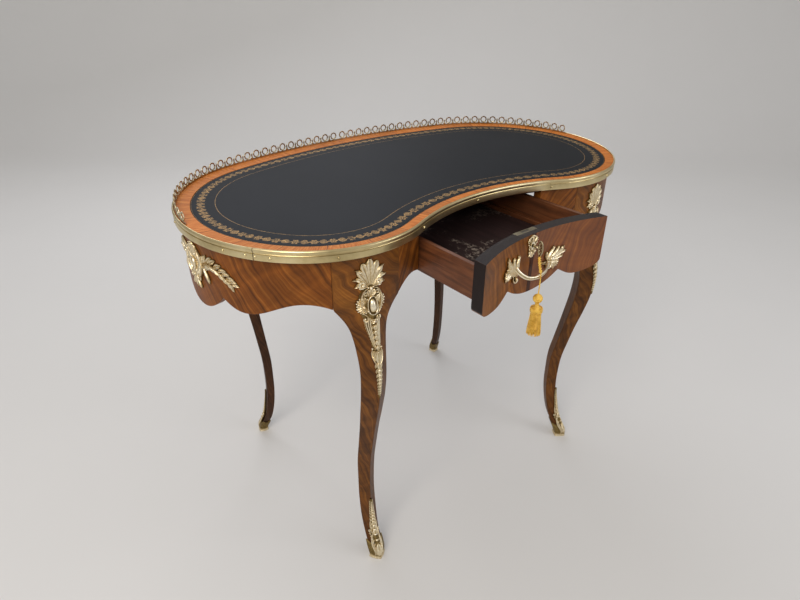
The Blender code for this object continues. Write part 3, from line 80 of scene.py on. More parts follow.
# Walls, as drops from the top and reaches along the edge
WALL_INSET = 0.008
WALL_THICKNESS = 0.018
WALL_BACK = WALL_INSET + WALL_THICKNESS
WALL_STEP = 3 * MM
WING_DROP = 0.117
PANEL_GRAIN_START = 2.0  # so that the panels aren't cut from the aprons' stretch of veneer
LOBE_POWER = 2.2
# cut edges from their middle outward: reach, drop from the top, and the shape of the stretch that ends there
END_EDGE = ((0.0, 0.158, ""), (0.081, 0.118, "bulge"), (0.130, 0.1355, "lobe"), (0.247, 0.104, "ease"))
BACK_EDGE = ((0.0, 0.147, ""), (0.082, 0.118, "bulge"), (0.150, 0.140, "lobe"))
PANEL_EDGE = ((0.0, 0.103, ""), (0.42, 0.096, "arch"), (1.0, WING_DROP, "fall"))
FRONT_EDGE = ((0.0, 0.1214, ""), (0.0765, 0.0950, "bulge"), (0.120, 0.1145, "lobe"),
              (FRONT_HALF, 0.0910, "round"))

# Legs
WING_REACH = 0.070
BLOCK_REACH = 0.028
BLOCK_DEPTH = 0.052
SOLE = 2.3 * MM
LEG_SHAFT_HEIGHT = TOP_Z - 0.160
LEVEL_STEP = 5 * MM
# places across each of the leg's four faces, close together beside a corner
FACE_SHARES = (0.0, 0.035, 0.14, 0.24, 1 / 3, 0.5, 2 / 3, 0.82, 0.965)
GRID_STEP = 2.0 * MM
GRID_SPAN = 17  # steps to each side of the arris that the castings may reach
# arc, heading, turn of the arris, stand of the foot, side of the square, sweep and ridge
FRONT_LEG = (2, 173.0, 4.0, 0.0067, 0.0400, 0.046, 0.0165)
BACK_LEG = (1, 15.5, 12.0, -0.0047, 0.0300, 0.037, 0.0070)
# height up the shaft, reach outward and side of the square, as shares of the leg's own sizes
LEG_SHARES = (
    (0.0000, 0.150, 0.50), (0.0250, 0.110, 0.52), (0.0500, -0.090, 0.57), (0.1000, -0.480, 0.60),
    (0.1667, -0.740, 0.65), (0.2500, -0.910, 0.66), (0.3333, -0.935, 0.67), (0.4167, -0.880, 0.71),
    (0.5000, -0.674, 0.74), (0.5833, -0.450, 0.78), (0.6667, -0.207, 0.87), (0.7500, 0.000, 0.94),
    (0.8333, 0.065, 0.97), (0.9167, -0.090, 1.00), (1.0000, -0.348, 0.98), (1.0717, -0.580, 0.95),
)
# height as a share of the shaft, share of the way into the wing, share of the ridge's stand
FLARE_SHARES = (
    (0.000, 0.00, 1.00), (0.840, 0.00, 1.00), (0.880, 0.02, 1.00), (0.920, 0.07, 1.00), (0.950, 0.13, 1.00),
    (0.980, 0.23, 1.00), (1.000, 0.34, 0.98), (1.018, 0.48, 0.88), (1.033, 0.62, 0.76), (1.052, 0.81, 0.60),
    (1.0717, 1.00, 0.46), (1.086, 1.00, 0.32), (1.100, 1.00, 0.21), (1.117, 1.00, 0.10),
    (1.135, 1.00, 0.00), (1.240, 1.00, 0.00),
)

# Drawer front
FRONT_INSET = 0.010
FRONT_THICKNESS = 0.025
DRAWER_OPEN = 0.172
SEAM_X = -0.0165
SEAM_TINT = "8A7C7C"
SEAM_HALF_WIDTH = 5.5 * MM
CUT_PAST = 4 * MM  # how far a cut runs past a face
END_GAP = 0.0015  # between the front's end and the opening's jamb

# Brass band, pins and gallery
BAND_SPLICE_NEAR = 0.104
BAND_SPLICE_FAR = 0.182
BAND_END_JOINT = 0.530
BAND_JOINT_GAP = 1.1 * MM  # the joint at the left end stands open
BAND_PROFILE_SHARES = (
    (0.00, 0.00), (0.78, 0.00), (0.88, 0.03), (0.90, 0.08), (0.90, 0.50), (0.87, 0.53), (0.46, 0.55),
    (0.38, 0.58), (0.46, 0.61), (0.86, 0.635), (1.00, 0.68), (1.08, 0.75), (1.09, 0.83), (1.02, 0.90),
    (0.86, 0.955), (0.62, 0.99), (0.35, 1.00), (0.00, 0.97),
)
# from the middle of the waist, towards the left end where positive
PIN_REACHES = (
    0.0055, 0.1908, 0.3896, 0.5002, 0.5262, 0.5447, 0.5889, 0.76, 0.93, 1.10, 1.27,
    -0.1854, -0.3539, -0.52, -0.68, -0.85, -1.02, -1.20, -1.36,
)
PIN_RADIUS = 2.8 * MM
# a pin's head: share of its radius, and of it that stands out
PIN_SHARES = ((1.0, -0.15), (1.0, 0.12), (0.90, 0.34), (0.68, 0.52), (0.38, 0.63), (0.12, 0.66))
PIN_STAND_SHARE = 0.90  # of the band's stand
PIN_RISE_SHARE = 0.30  # of the band's height
GALLERY_INSET = 1.6 * MM
GALLERY_THICKNESS = 1.2 * MM
RAIL_HEIGHT = 3.1 * MM
GALLERY_RING_SHARE = 0.92  # of the room above the rail and between the knots
# a ring's section, from its rim to its bore: share of its reach and of half its thickness
RING_SHARES = (
    (1.0, -0.4), (1.0, 0.4), (0.95, 1.4), (0.83, 0.55), (0.71, 1.4), (0.65, 0.4), (0.65, -0.4), (0.71, -1.4),
    (0.95, -1.4),
)
KNOT_REACH = 3.4 * MM
# a knot: shares of the gallery's height and of its own reach
KNOT_SHARES = (
    (0.06, 0.75), (0.16, 1.0), (0.28, 0.80), (0.38, 0.45), (0.50, 0.62), (0.60, 0.50), (0.72, 0.12),
)

# Castings: a stroke's section, and how its width and height run along it
CAST_EDGE = 0.4 * MM
PLATE_STEP = 5.0  # millimetres, as all of a casting's sizes
PLATE_HEIGHT = 1.4
SECTION_SHARES = (-1.0, -0.82, -0.55, -0.27, 0.0, 0.27, 0.55, 0.82, 1.0)
LEAF_TAPER = ((0.0, 0.45, 0.55), (0.20, 0.82, 0.85), (0.45, 1.0, 1.0), (0.75, 0.72, 0.90), (1.0, 0.08, 0.45))
BODY_TAPER = ((0.0, 0.70, 0.75), (0.35, 1.0, 1.0), (0.70, 0.72, 0.95), (0.88, 0.42, 0.80), (1.0, 0.08, 0.45))
FAN_TAPER = ((0.0, 0.30, 0.70), (0.30, 0.55, 0.75), (0.70, 0.98, 0.95), (0.88, 0.86, 1.0), (1.0, 0.30, 0.60))
BAND_TAPER = ((0.0, 0.35, 0.50), (0.20, 0.80, 0.90), (0.50, 1.0, 1.0), (0.80, 0.80, 0.90), (1.0, 0.35, 0.50))
RIB_TAPER = ((0.0, 0.80, 0.70), (0.30, 1.0, 1.0), (0.70, 0.75, 0.95), (1.0, 0.15, 0.50))
SCROLL_TAPER = ((0.0, 0.15, 0.35), (0.25, 0.75, 0.80), (0.60, 1.0, 1.0), (1.0, 0.75, 1.0))
BEAD_SHARES = ((1.0, 0.0), (1.0, 0.14), (0.93, 0.45), (0.74, 0.74), (0.45, 0.93), (0.14, 1.0))

# Knee mounts: height and half width of the plate behind the relief
KNEE_GAP = 0.8 * MM
KNEE_PLATE = (
    (458, 1.5), (478, 3.2), (507, 5.0), (532, 6.5), (560, 8.5), (590, 12.0), (612, 16.0), (624, 21.0),
    (644, 24.0), (665, 21.0), (680, 11.0), (688, 15.0), (700, 19.0), (712, 17.0), (722.5, 9.0), (727.5, 4.0),
)

# Sabots
SABOT_GAP = 1.5 * MM
SABOT_HEIGHT = 0.036
SABOT_TONGUE = 0.090
TONGUE_PLATE = ((40, 8.5), (60, 7.5), (80, 6.0), (105, 4.2), (130, 2.8), (145, 1.4))
# share of the way up the shoe and how far it stands out, in millimetres
SABOT_PROFILE = (
    (0.0, 2.0), (0.0, 3.0), (0.02, 3.6), (0.05, 3.7), (0.08, 3.1), (0.10, 2.2), (0.14, 2.0), (0.30, 2.7),
    (0.50, 3.0), (0.70, 2.6), (0.90, 1.9), (0.97, 1.8), (1.0, 1.2),
)

# Key, escutcheon and pull
KEY_Z = (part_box("key")[0].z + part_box("key")[1].z) / 2
BOW_STAND = 21.5 * MM
BOW_MIDDLE = 8.5 * MM  # behind the wire's front
BOW_REACH = 4.4 * MM  # half the bow's own breadth
BOW_BREADTH_SHARE = 0.78  # the wire's breadth for its depth
# the stem behind the bow, and the bit below it, in millimetres
KEY_STEM = ((-0.6, 1.6), (0.6, 2.6), (1.6, 3.1), (2.6, 2.6), (3.2, 2.0), (4.2, 2.7), (5.2, 2.4))
KEY_BITS = ((8.2, 4.6), (5.0, 0.6))
# shares of the escutcheon's reach, anticlockwise from its right
ESCUTCHEON_SHARES = (
    0.50, 0.92, 1.04, 1.00, 1.06, 1.00, 1.04, 0.92, 0.50, 0.62, 0.66, 1.05, 1.22, 1.05, 0.66, 0.62,
)
# from the keyhole outward: share of the way, stand and crown
ESCUTCHEON_SECTION = (
    (0.0, 0.0, 0.0), (0.0, 2.6, 0.8), (0.18, 3.2, 1.0), (0.40, 1.6, 0.15), (0.75, 1.5, 0.2), (0.92, 2.4, 0.9),
    (1.0, 1.0, 0.4), (1.0, 0.0, 0.0),
)
ESCUTCHEON_SIZE = (16.5, 20.0)
KEYHOLE = 3.6  # its radius in millimetres, as of the sizes above
SCREW_HOLE = 2.4
PULL_LIFT = 0.5 * MM
PULL_Z = FRONT_TOP_Z - 0.051
BAIL_STAND = 0.0250
BAIL_DROP = 0.0260
BAIL_HALF_HEIGHT = 4.2 * MM
BAIL_HALF_DEPTH = 2.7 * MM
BAIL_SIDES = 20
BAIL_GROOVE = 0.30
# along the front, out of it and down, as shares
BAIL_SHARES = (
    (-1.00, 0.16, 0.04), (-0.90, 0.40, 0.36), (-0.72, 0.66, 0.68), (-0.50, 0.84, 0.90),
    (-0.25, 0.96, 1.00), (0.00, 1.00, 1.02), (0.25, 0.96, 1.00), (0.50, 0.84, 0.94),
    (0.72, 0.62, 0.86), (0.86, 0.40, 0.78), (0.96, 0.16, 0.70),
)
# each leaf's root, knee and tip from the spray's middle, and its width, in millimetres
LEFT_SPRAY = (
    ((-16, 14), (2, 4), (22, -14), 26), ((12, -12), (-15, 2), (-17, 32), 20),
    ((14, -12), (0, 2), (3, 25), 19), ((17, -10), (10, 6), (21, 24), 19),
    ((10, -12), (-8, -6), (-16, 10), 15), ((4, -4), (-14, 0), (-22, -16), 13),
    ((18, -16), (6, -8), (0, 12), 15), ((2, -4), (-8, 8), (-8, 20), 12),
)
RIGHT_SPRAY = (
    ((-6, -2), (14, 4), (34, 22), 17), ((-4, 0), (16, 10), (40, 12), 16),
    ((0, -2), (18, 4), (33, 1), 15), ((-4, -4), (10, -4), (24, -10), 14),
    ((-6, -4), (2, -12), (12, -23), 13), ((-10, 2), (-4, 14), (8, 27), 12),
    ((-10, 4), (-16, 10), (-13, 19), 9), ((-8, -2), (-20, -6), (-26, 0), 11),
    ((0, 4), (12, 12), (20, 24), 12),
)

# Cord and tassel
CORD_RADIUS = 1.25 * MM
CORD_STAND = 29.8 * MM
CORD_TOP_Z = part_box("key")[0].z - CLEAR
CORD_FOOT_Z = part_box("tassel")[1].z + CLEAR
CORD_BEND_SHARE = 0.55
CORD_POINTS = 14
CORD_INSIDE = 0.0375
CORD_TWIST = 0.17
# the part below the bow that is doubled, down to a knot
DOUBLED_LENGTH = 27 * MM
DOUBLED_RADIUS = 1.55 * MM
DOUBLED_REACH = 1.5 * MM
# drop below the doubled part's foot, and reach from the cord's middle, in millimetres
CORD_KNOT = (
    (-1.6, 0.6), (-1.2, 2.0), (-0.2, 2.9), (0.8, 3.0),
    (1.4, 2.5), (2.0, 2.9), (3.0, 2.8), (3.9, 2.0), (4.4, 0.6),
)
TASSEL_RADIUS = 0.0140
GOLDEN_SHARE = 0.381966  # of a turn from strand to strand
# depth down the tassel, radius and depth of the ribs
TASSEL_HEAD_SHARES = (
    (0.000, 0.10, 0.0), (0.006, 0.24, 0.0), (0.020, 0.38, 0.03), (0.045, 0.54, 0.04), (0.075, 0.63, 0.04),
    (0.105, 0.66, 0.04), (0.135, 0.64, 0.04), (0.165, 0.55, 0.04), (0.190, 0.41, 0.03), (0.210, 0.29, 0.0),
    (0.225, 0.26, 0.0), (0.240, 0.31, 0.0), (0.252, 0.26, 0.0), (0.270, 0.28, 0.02), (0.300, 0.40, 0.03),
    (0.325, 0.58, 0.03), (0.345, 0.70, 0.0), (0.365, 0.78, 0.0), (0.385, 0.78, 0.0), (0.400, 0.70, 0.02),
    (0.430, 0.66, 0.03), (0.550, 0.66, 0.03), (0.700, 0.70, 0.03), (0.850, 0.74, 0.03), (0.950, 0.76, 0.03),
)

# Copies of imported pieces: finish, body, slot, ease of the edges in millimetres, last word of the name, nodes
EASED_PIECES = {
    "drawer": (
        ("drawer_lining", "drawer", "drawer_lining", 0.7, "eased",
         ("drawer_side_left", "drawer_side_right", "drawer_back")),
        ("drawer_floor", "drawer", "drawer_lining", 0.7, "eased", ("drawer_bottom",)),
        ("drawer_lining", "drawer", "drawer_lining", 0.7, "eased", ("drawer_slip_left", "drawer_slip_right")),
    ),
    "carcass": (
        # the top rail's near-black finish is painted shade, the shade under the top
        ("inner_wood", "desk", "veneer", 0.6, "stained", ("top_rail",)),
        ("carcass", "desk", "secondary_wood", 0.8, "eased",
         [f"{kind}_{side}"
          for kind in ("drawer_runner", "drawer_guide", "kicker", "drawer_stop", "top_batten")
          for side in ("left", "right")]),
    ),
    "lock": (
        ("lock_brass", "drawer", "steel", 0.25, "eased", ("lock_case", "lock_cap")),
        ("old_steel", "lock_bolt", "steel", 0.25, "eased", ("lock_bolt",)),
        ("old_steel", "drawer", "steel", 0.25, "eased", ("pull_screw_left", "pull_screw_right")),
    ),
}

# Stage and camera
# name, place, aim, size, share of the main lamp's power and tint
LAMPS = (
    ("main_softbox", (-2.4, -1.5, 2.6), (0.0, 0.0, 0.5), (1.8, 1.8), 1.0, "FFF8F0"),
    ("front_softbox", (1.6, -2.6, 1.7), (0.0, 0.0, 0.5), (1.6, 1.2), 0.30, "F4F6FF"),
    ("back_window", (0.6, 2.3, 2.6), (0.0, 0.0, 0.7), (2.4, 1.2), 0.60, "F2F5FF"),
)
ROOM_TINT, ROOM_LIGHT = "E6E6E8", 0.68
STAGE_SIZE = 7.0
STAGE_HALF_WIDTH = 20.0
STAGE_DEPTH = 2.6
STAGE_CURVE = 1.4
SENSOR_WIDTH = 36.0
CAMERA_LENS = 27.416
CAMERA_PLACE = Vector((-0.8667, -0.9706, 1.1743))
CAMERA_TURN = -39.2
CAMERA_TILT = 60.587
CAMERA_ROLL = 0.572

# The settings that give the outline
OUTLINE_SIZES = ("half_length", "end_radius", "lobe_radius", "waist_depth", "back_heading", "lobe_heading")


# Small helpers


def linear(code):
    """A colour's linear RGBA, from its sRGB hex code."""
    shares = [int(code[i:i + 2], 16) / 255 for i in (0, 2, 4)]
    return (*(s / 12.92 if s <= 0.04045 else ((s + 0.055) / 1.055) ** 2.4 for s in shares), 1.0)


def put(tree, kind, inputs=None, stops=None, **settings):
    """Adds a node with its settings, its inputs set or linked, and a ramp's stops as places and colours."""
    named = kind.startswith(("Geometry", "Function", "NodeGroup"))
    made = tree.nodes.new(kind if named else f"ShaderNode{kind}")
    for name, value in settings.items():
        setattr(made, name, value)
    feed(tree, made, inputs or {})
    if stops:
        elements = made.color_ramp.elements
        while len(elements) < len(stops):
            elements.new(1.0)
        for element, (place, colour) in zip(elements, stops):
            element.position = place
            element.color = linear(colour) if isinstance(colour, str) else colour
    return made


def feed(tree, node, inputs):
    """Sets or links a node's inputs; a node given as a value stands for its first output in use."""
    for key, value in inputs.items():
        if isinstance(value, bpy.types.Node):
            value = next(output for output in value.outputs if output.enabled)
        if isinstance(value, bpy.types.NodeSocket):
            tree.links.new(value, node.inputs[key])
        else:
            node.inputs[key].default_value = value


def blank(name):
    """A new material, with its tree and its shader."""
    material = bpy.data.materials.new(name)
    material.use_nodes = True
    return material, material.node_tree, material.node_tree.nodes["Principled BSDF"]


def ease(share):
    """A smooth step from 0 to 1."""
    return (1 - math.cos(math.pi * min(1.0, max(0.0, share)))) / 2


def curved(rows, key):
    """Values on a smooth curve through a table's rows, whose first column rises."""
    last = len(rows) - 1
    i = next((i for i in range(last) if key <= rows[i + 1][0]), last - 1)
    before, low, high, after = (rows[max(0, min(last, i + j))] for j in (-1, 0, 1, 2))
    span = high[0] - low[0]
    t = (key - low[0]) / span
    values = []
    for a, b, c, d in zip(before[1:], low[1:], high[1:], after[1:]):
        rise_low = (c - a) * span / (high[0] - before[0])
        rise_high = (d - b) * span / (after[0] - low[0])
        values.append(
            b * (1 + 2 * t) * (1 - t) ** 2 + rise_low * t * (1 - t) ** 2
            + c * t * t * (3 - 2 * t) + rise_high * t * t * (t - 1)
        )
    return values


def spread(start, stop, step):
    """Even places from start to stop, both included."""
    count = max(1, round(abs(stop - start) / step))
    return [start + (stop - start) * i / count for i in range(count + 1)]


def heading_of(direction):
    """Angle clockwise from +Y, from 0 to a full turn."""
    return math.atan2(direction.x, direction.y) % math.tau


def turns(count):
    """The angles of even steps round a circle."""
    return [math.tau * i / count for i in range(count)]


def oval(u, w, half_u, half_w, count):
    """Points round an oval, anticlockwise from its right."""
    return [(u + half_u * math.cos(a), w + half_w * math.sin(a)) for a in turns(count)]


EDGE_SHAPES = {
    "bulge": lambda share: share ** LOBE_POWER,
    "lobe": lambda share: 1 - (1 - share) ** 2,
    "ease": ease,
    "arch": lambda share: math.sin(math.pi / 2 * share),
    "fall": lambda share: share ** 2,
    "round": lambda share: 1 - math.sqrt(1 - share ** 2),
}


def cut_height(edge, away, top=TOP_Z):
    """Height of a cut edge at a distance from its middle."""
    for (start, drop, _), (stop, next_drop, shape) in zip(edge, edge[1:]):
        if away < stop:
            break
    return top - drop - (next_drop - drop) * EDGE_SHAPES[shape](min(1.0, (away - start) / (stop - start)))


class Plan:
    """The top's outline in plan: tangent arcs, walked clockwise from the middle of the back."""

    def __init__(self, half_length, end_radius, lobe_radius, waist_depth, first, second):
        back_radius = end_radius + (half_length - end_radius) / math.sin(first)
        back = Vector((0.0, BACK_Y - back_radius))
        end = back + (back_radius - end_radius) * Vector((math.sin(first), math.cos(first)))
        lobe = end + (end_radius - lobe_radius) * Vector((math.sin(second), math.cos(second)))
        rise = lobe_radius - waist_depth
        waist_radius = (lobe.x ** 2 + rise ** 2 - lobe_radius ** 2) / (2 * waist_depth)
        waist = Vector((0.0, lobe.y - rise - waist_radius))
        third = heading_of(waist - lobe)
        self.arcs = (
            (back, back_radius, 0.0, first, 1), (end, end_radius, first, second, 1),
            (lobe, lobe_radius, second, third, 1), (waist, waist_radius, third, math.pi, -1),
        )
        self.lengths = [radius * abs(last - start) for _, radius, start, last, _ in self.arcs]
        self.half = sum(self.lengths)

    def frame(self, run):
        """Place and outward normal at a distance along the wood's edge."""
        run = run % (2 * self.half)
        side = RIGHT
        if run > self.half:
            run, side = 2 * self.half - run, LEFT
        for (centre, radius, first, last, bulge), length in zip(self.arcs, self.lengths):
            if run <= length or bulge < 0:
                heading = first + (last - first) * run / length
                normal = Vector((math.sin(heading), math.cos(heading)))
                place = centre + bulge * radius * normal
                return Vector((side * place.x, place.y)), Vector((side * normal.x, normal.y))
            run -= length

    def edge(self, run, inset=0.0):
        """A point set in from the wood's edge."""
        place, normal = self.frame(run)
        return place - inset * normal

    def at_heading(self, arc, degrees):
        """The run at which an arc's normal points along a heading."""
        _, radius, first, _, _ = self.arcs[arc]
        return sum(self.lengths[:arc]) + radius * (math.radians(degrees) - first)

    def at_front(self, x, inset):
        """The run, right of the waist's middle, at which the set-in edge has this x."""
        low, high = sum(self.lengths[:2]), self.half
        for _ in range(30):
            middle = (low + high) / 2
            if self.edge(middle, inset).x > x:
                low = middle
            else:
                high = middle
        return low

    def front_y(self, x, inset):
        """Y of the front edge, set in by inset, at x."""
        return self.edge(self.at_front(abs(x), inset), inset).y


# Meshes


def loft(rings, loop=False, flat=None, skin=None, crown=None):
    """A closed skin through rings of equal counts; flat(i, j) gives the UV of point j of ring i.

    With crown, a layer of the skin, each point's fourth value is its crown.
    """
    skin = skin or bmesh.new()
    layer = skin.loops.layers.uv.new("flat") if flat else None
    rows = [[skin.verts.new(point[:3]) for point in ring] for ring in rings]
    if crown:
        for row, ring in zip(rows, rings):
            for vert, point in zip(row, ring):
                vert[crown] = point[3]
    count, wide = len(rows), len(rows[0])
    for i in range(count if loop else count - 1):
        low, high = rows[i], rows[(i + 1) % count]
        for j in range(wide):
            face = skin.faces.new((low[j - 1], low[j], high[j], high[j - 1]))
            if flat:
                corners = ((i, (j - 1) % wide), (i, j), (i + 1, j), (i + 1, (j - 1) % wide))
                for corner, (a, b) in zip(face.loops, corners):
                    corner[layer].uv = flat(a, b)
    for i in () if loop else (0, count - 1):
        face = skin.faces.new(rows[i])
        if flat:
            for corner, j in zip(face.loops, range(wide)):
                corner[layer].uv = flat(i, j)
    return skin


def show(name, data):
    """A new object in the scene."""
    made = bpy.data.objects.new(name, data)
    bpy.context.collection.objects.link(made)
    return made


def evaluated(made):
    """A plain mesh of an object with its modifiers applied."""
    return bpy.data.meshes.new_from_object(made.evaluated_get(bpy.context.evaluated_depsgraph_get()))


def object_of(name, skin, smooth=30.0):
    """A linked object from a bmesh, with its faces pointing out and shaded smooth up to an angle."""
    bmesh.ops.recalc_face_normals(skin, faces=skin.faces)
    mesh = bpy.data.meshes.new(name)
    skin.to_mesh(mesh)
    skin.free()
    mesh.shade_smooth()
    mesh.set_sharp_from_angle(angle=math.radians(smooth))
    return show(name, mesh)


def seat(made, material, body, slot, *nodes):
    """Gives a finished piece its material and its body, and hides the nodes that it stands for; slot is not
    used.
    """
    made.data.materials.clear()
    made.data.materials.append(material)
    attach(made, body)
    if nodes:
        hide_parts(*nodes)
    return made


def soften(made, width, segments=2, angle=40.0):
    """Eases the sharp edges, as a scraper and polish leave them."""
    bevel = made.modifiers.new("eased edges", "BEVEL")
    bevel.width = width
    bevel.segments = segments
    bevel.limit_method = "ANGLE"
    bevel.angle_limit = math.radians(angle)
    return made


def copy_of(node, name):
    """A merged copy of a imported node's mesh, as a new object."""
    skin = bmesh.new()
    skin.from_mesh(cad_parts[node].data)
    bmesh.ops.remove_doubles(skin, verts=skin.verts, dist=0.01 * MM)
    bmesh.ops.dissolve_limit(skin, angle_limit=math.radians(0.5), verts=skin.verts, edges=skin.edges)
    return object_of(name, skin)


def lay_tree():
    """A Geometry Nodes tree that lays one unit on each point, turned by the point's own vectors."""
    name = "lay units on points"
    if name in bpy.data.node_groups:
        return bpy.data.node_groups[name]
    tree = bpy.data.node_groups.new(name, "GeometryNodeTree")
    for label, way, kind in (
        ("Geometry", "INPUT", "Geometry"), ("Unit", "INPUT", "Object"), ("Finish", "INPUT", "Material"),
        ("Smallest", "INPUT", "Float"), ("Largest", "INPUT", "Float"), ("Seed", "INPUT", "Int"),
        ("Geometry", "OUTPUT", "Geometry"),
    ):
        tree.interface.new_socket(label, in_out=way, socket_type=f"NodeSocket{kind}")
    given = put(tree, "NodeGroupInput").outputs
    facing = put(tree, "GeometryNodeInputNamedAttribute", {"Name": "facing"}, data_type="FLOAT_VECTOR")
    along = put(tree, "GeometryNodeInputNamedAttribute", {"Name": "along"}, data_type="FLOAT_VECTOR")
    upright = put(tree, "FunctionNodeAlignRotationToVector", {"Vector": facing.outputs[0]}, axis="Z")
    turned_to = put(tree, "FunctionNodeAlignRotationToVector",
                    {"Rotation": upright, "Vector": along.outputs[0]}, axis="X", pivot_axis="Z")
    unit = put(tree, "GeometryNodeObjectInfo", {"Object": given["Unit"]})
    size = put(tree, "FunctionNodeRandomValue",
               {2: given["Smallest"], 3: given["Largest"], "Seed": given["Seed"]}, data_type="FLOAT")
    laid = put(tree, "GeometryNodeInstanceOnPoints", {
        "Points": given["Geometry"], "Instance": unit.outputs["Geometry"],
        "Rotation": turned_to, "Scale": size.outputs[1],
    })
    real = put(tree, "GeometryNodeRealizeInstances", {"Geometry": laid})
    done = put(tree, "GeometryNodeSetMaterial", {"Geometry": real, "Material": given["Finish"]})
    put(tree, "NodeGroupOutput", {"Geometry": done})
    return tree


def lay(name, places, unit, material, smallest=1.0, largest=1.0, seed=1):
    """A plain mesh of units laid on places, each a point, the way it faces and the way it runs."""
    mesh = bpy.data.meshes.new(name)
    mesh.from_pydata([place[0] for place in places], [], [])
    for index, label in ((1, "facing"), (2, "along")):
        values = mesh.attributes.new(label, "FLOAT_VECTOR", "POINT").data
        for value, place in zip(values, places):
            value.vector = place[index]
    holder = show(f"{name}_points", mesh)
    step = holder.modifiers.new("lay", "NODES")
    step.node_group = lay_tree()
    wanted = {"Unit": unit, "Finish": material, "Smallest": smallest, "Largest": largest, "Seed": seed}
    for item in step.node_group.interface.items_tree:
        if item.in_out == "INPUT" and item.name in wanted:
            step[item.identifier] = wanted[item.name]
    plain = evaluated(holder)
    plain.name = name
    for leftover in (holder, unit):
        bpy.data.objects.remove(leftover, do_unlink=True)
    plain.shade_smooth()
    return show(name, plain)


def on_edge(plan, run, inset, z):
    """Where a unit is laid along the edge: its place, the way it faces and the way it runs."""
    facing = Vector((*plan.frame(run)[1], 0.0))
    return Vector((*plan.edge(run, inset), z)), facing, UP.cross(facing)


# Finishes


def veneer(name, codes, grain, figure, turn, swirl, tint=None, edges=None, paler_up=None):
    """Hand-cut veneer under French polish: long lines that wander, broad clouds, a faint curl, soft gloss.

    grain is the width of the lines, figure the size of the swirls and swirl their strength; turn is the
    grain's slope. tint reddens the leaf right of the seam, edges darkens the top edge and paints shade on
    the ends, and paler_up brightens the wood between two heights, up to a share of its own colour.
    """
    material, tree, shader = blank(name)
    place = put(tree, "TexCoord").outputs
    turned_to = put(tree, "Mapping", {"Vector": place["UV"], "Rotation": (0.0, 0.0, math.radians(turn))})
    swirls = put(tree, "TexNoise", {
        "Vector": turned_to, "Scale": 1 / figure, "Detail": 2.0, "Roughness": 0.4,
    })
    centred = put(tree, "VectorMath", {0: swirls.outputs["Color"], 1: (0.5, 0.5, 0.5)}, operation="SUBTRACT")
    amount = put(tree, "VectorMath", {0: centred, "Scale": swirl}, operation="SCALE")
    bent = put(tree, "VectorMath", {0: turned_to, 1: amount}, operation="ADD")
    drawn, tones = {}, {}
    for layer, wide, long_way, detail, low, high in (
        ("lines", 1.0, 40, 5.0, 0.0, 1.0), ("bands", 6, 70, 2.0, 0.80, 1.12),
        ("curl", 22, 3.2, 2.0, 0.80, 1.14), ("pores", 0.22, 5, 3.0, 0.84, 1.06),
    ):
        laid = put(tree, "Mapping", {
            "Vector": bent, "Scale": (1 / (wide * grain), 1 / (long_way * grain), 1.0),
        })
        drawn[layer] = put(tree, "TexNoise", {
            "Vector": laid, "Scale": 0.6, "Detail": detail, "Roughness": 0.6,
        })
        tones[layer] = put(tree, "MapRange", {
            "Value": drawn[layer], "From Min": 0.34, "From Max": 0.66, "To Min": low, "To Max": high,
        })
    colour = put(tree, "ValToRGB", {"Fac": tones["lines"]}, list(zip((0.05, 0.50, 0.95), codes)))
    for layer in ("bands", "curl", "pores"):
        colour = put(tree, "VectorMath", {0: colour, "Scale": tones[layer]}, operation="SCALE")
    if tint:
        across = put(tree, "SeparateXYZ", {0: place["Object"]})
        past = put(tree, "Math", {0: across, 1: SEAM_X}, operation="GREATER_THAN")
        part_of = put(tree, "Math", {0: past, 1: 0.35}, operation="MULTIPLY")
        redder = put(tree, "Mix", {0: part_of, 6: colour, 7: linear(tint)}, data_type="RGBA")
        seam = put(tree, "Math", {0: across, 1: SEAM_X, 2: SEAM_HALF_WIDTH}, operation="COMPARE")
        colour = put(tree, "Mix", {0: seam, 6: redder, 7: linear(SEAM_TINT)}, data_type="RGBA",
                     blend_type="MULTIPLY")
    if paler_up:
        low, high, most = paler_up
        height = put(tree, "SeparateXYZ", {0: place["Object"]}).outputs[2]
        lift = put(tree, "MapRange", {
            "Value": height, "From Min": low, "From Max": high, "To Min": 1.0, "To Max": most,
        })
        colour = put(tree, "VectorMath", {0: colour, "Scale": lift}, operation="SCALE")
    # edges: a dark top edge, and painted shade on the ends
    if edges:
        way = put(tree, "SeparateXYZ", {0: place["Normal"]}).outputs
        end = put(tree, "Math", {0: way[0]}, operation="ABSOLUTE")
        either = put(tree, "Math", {0: end, 1: way[2]}, operation="MAXIMUM")
        dark_top_and_shaded_ends = put(tree, "Math", {0: either, 1: 0.85}, operation="GREATER_THAN")
        colour = put(tree, "Mix", {0: dark_top_and_shaded_ends, 6: colour, 7: linear(edges)}, data_type="RGBA")
    feed(tree, shader, {
        "Base Color": colour, "Specular IOR Level": 0.17, "Coat Weight": 0.05, "Coat Roughness": 0.25,
        "Roughness": put(tree, "MapRange", {"Value": drawn["bands"], "To Min": 0.36, "To Max": 0.50}),
        "Normal": put(tree, "Bump", {"Height": drawn["pores"], "Strength": 0.08, "Distance": 0.15 * MM}),
    })
    return material


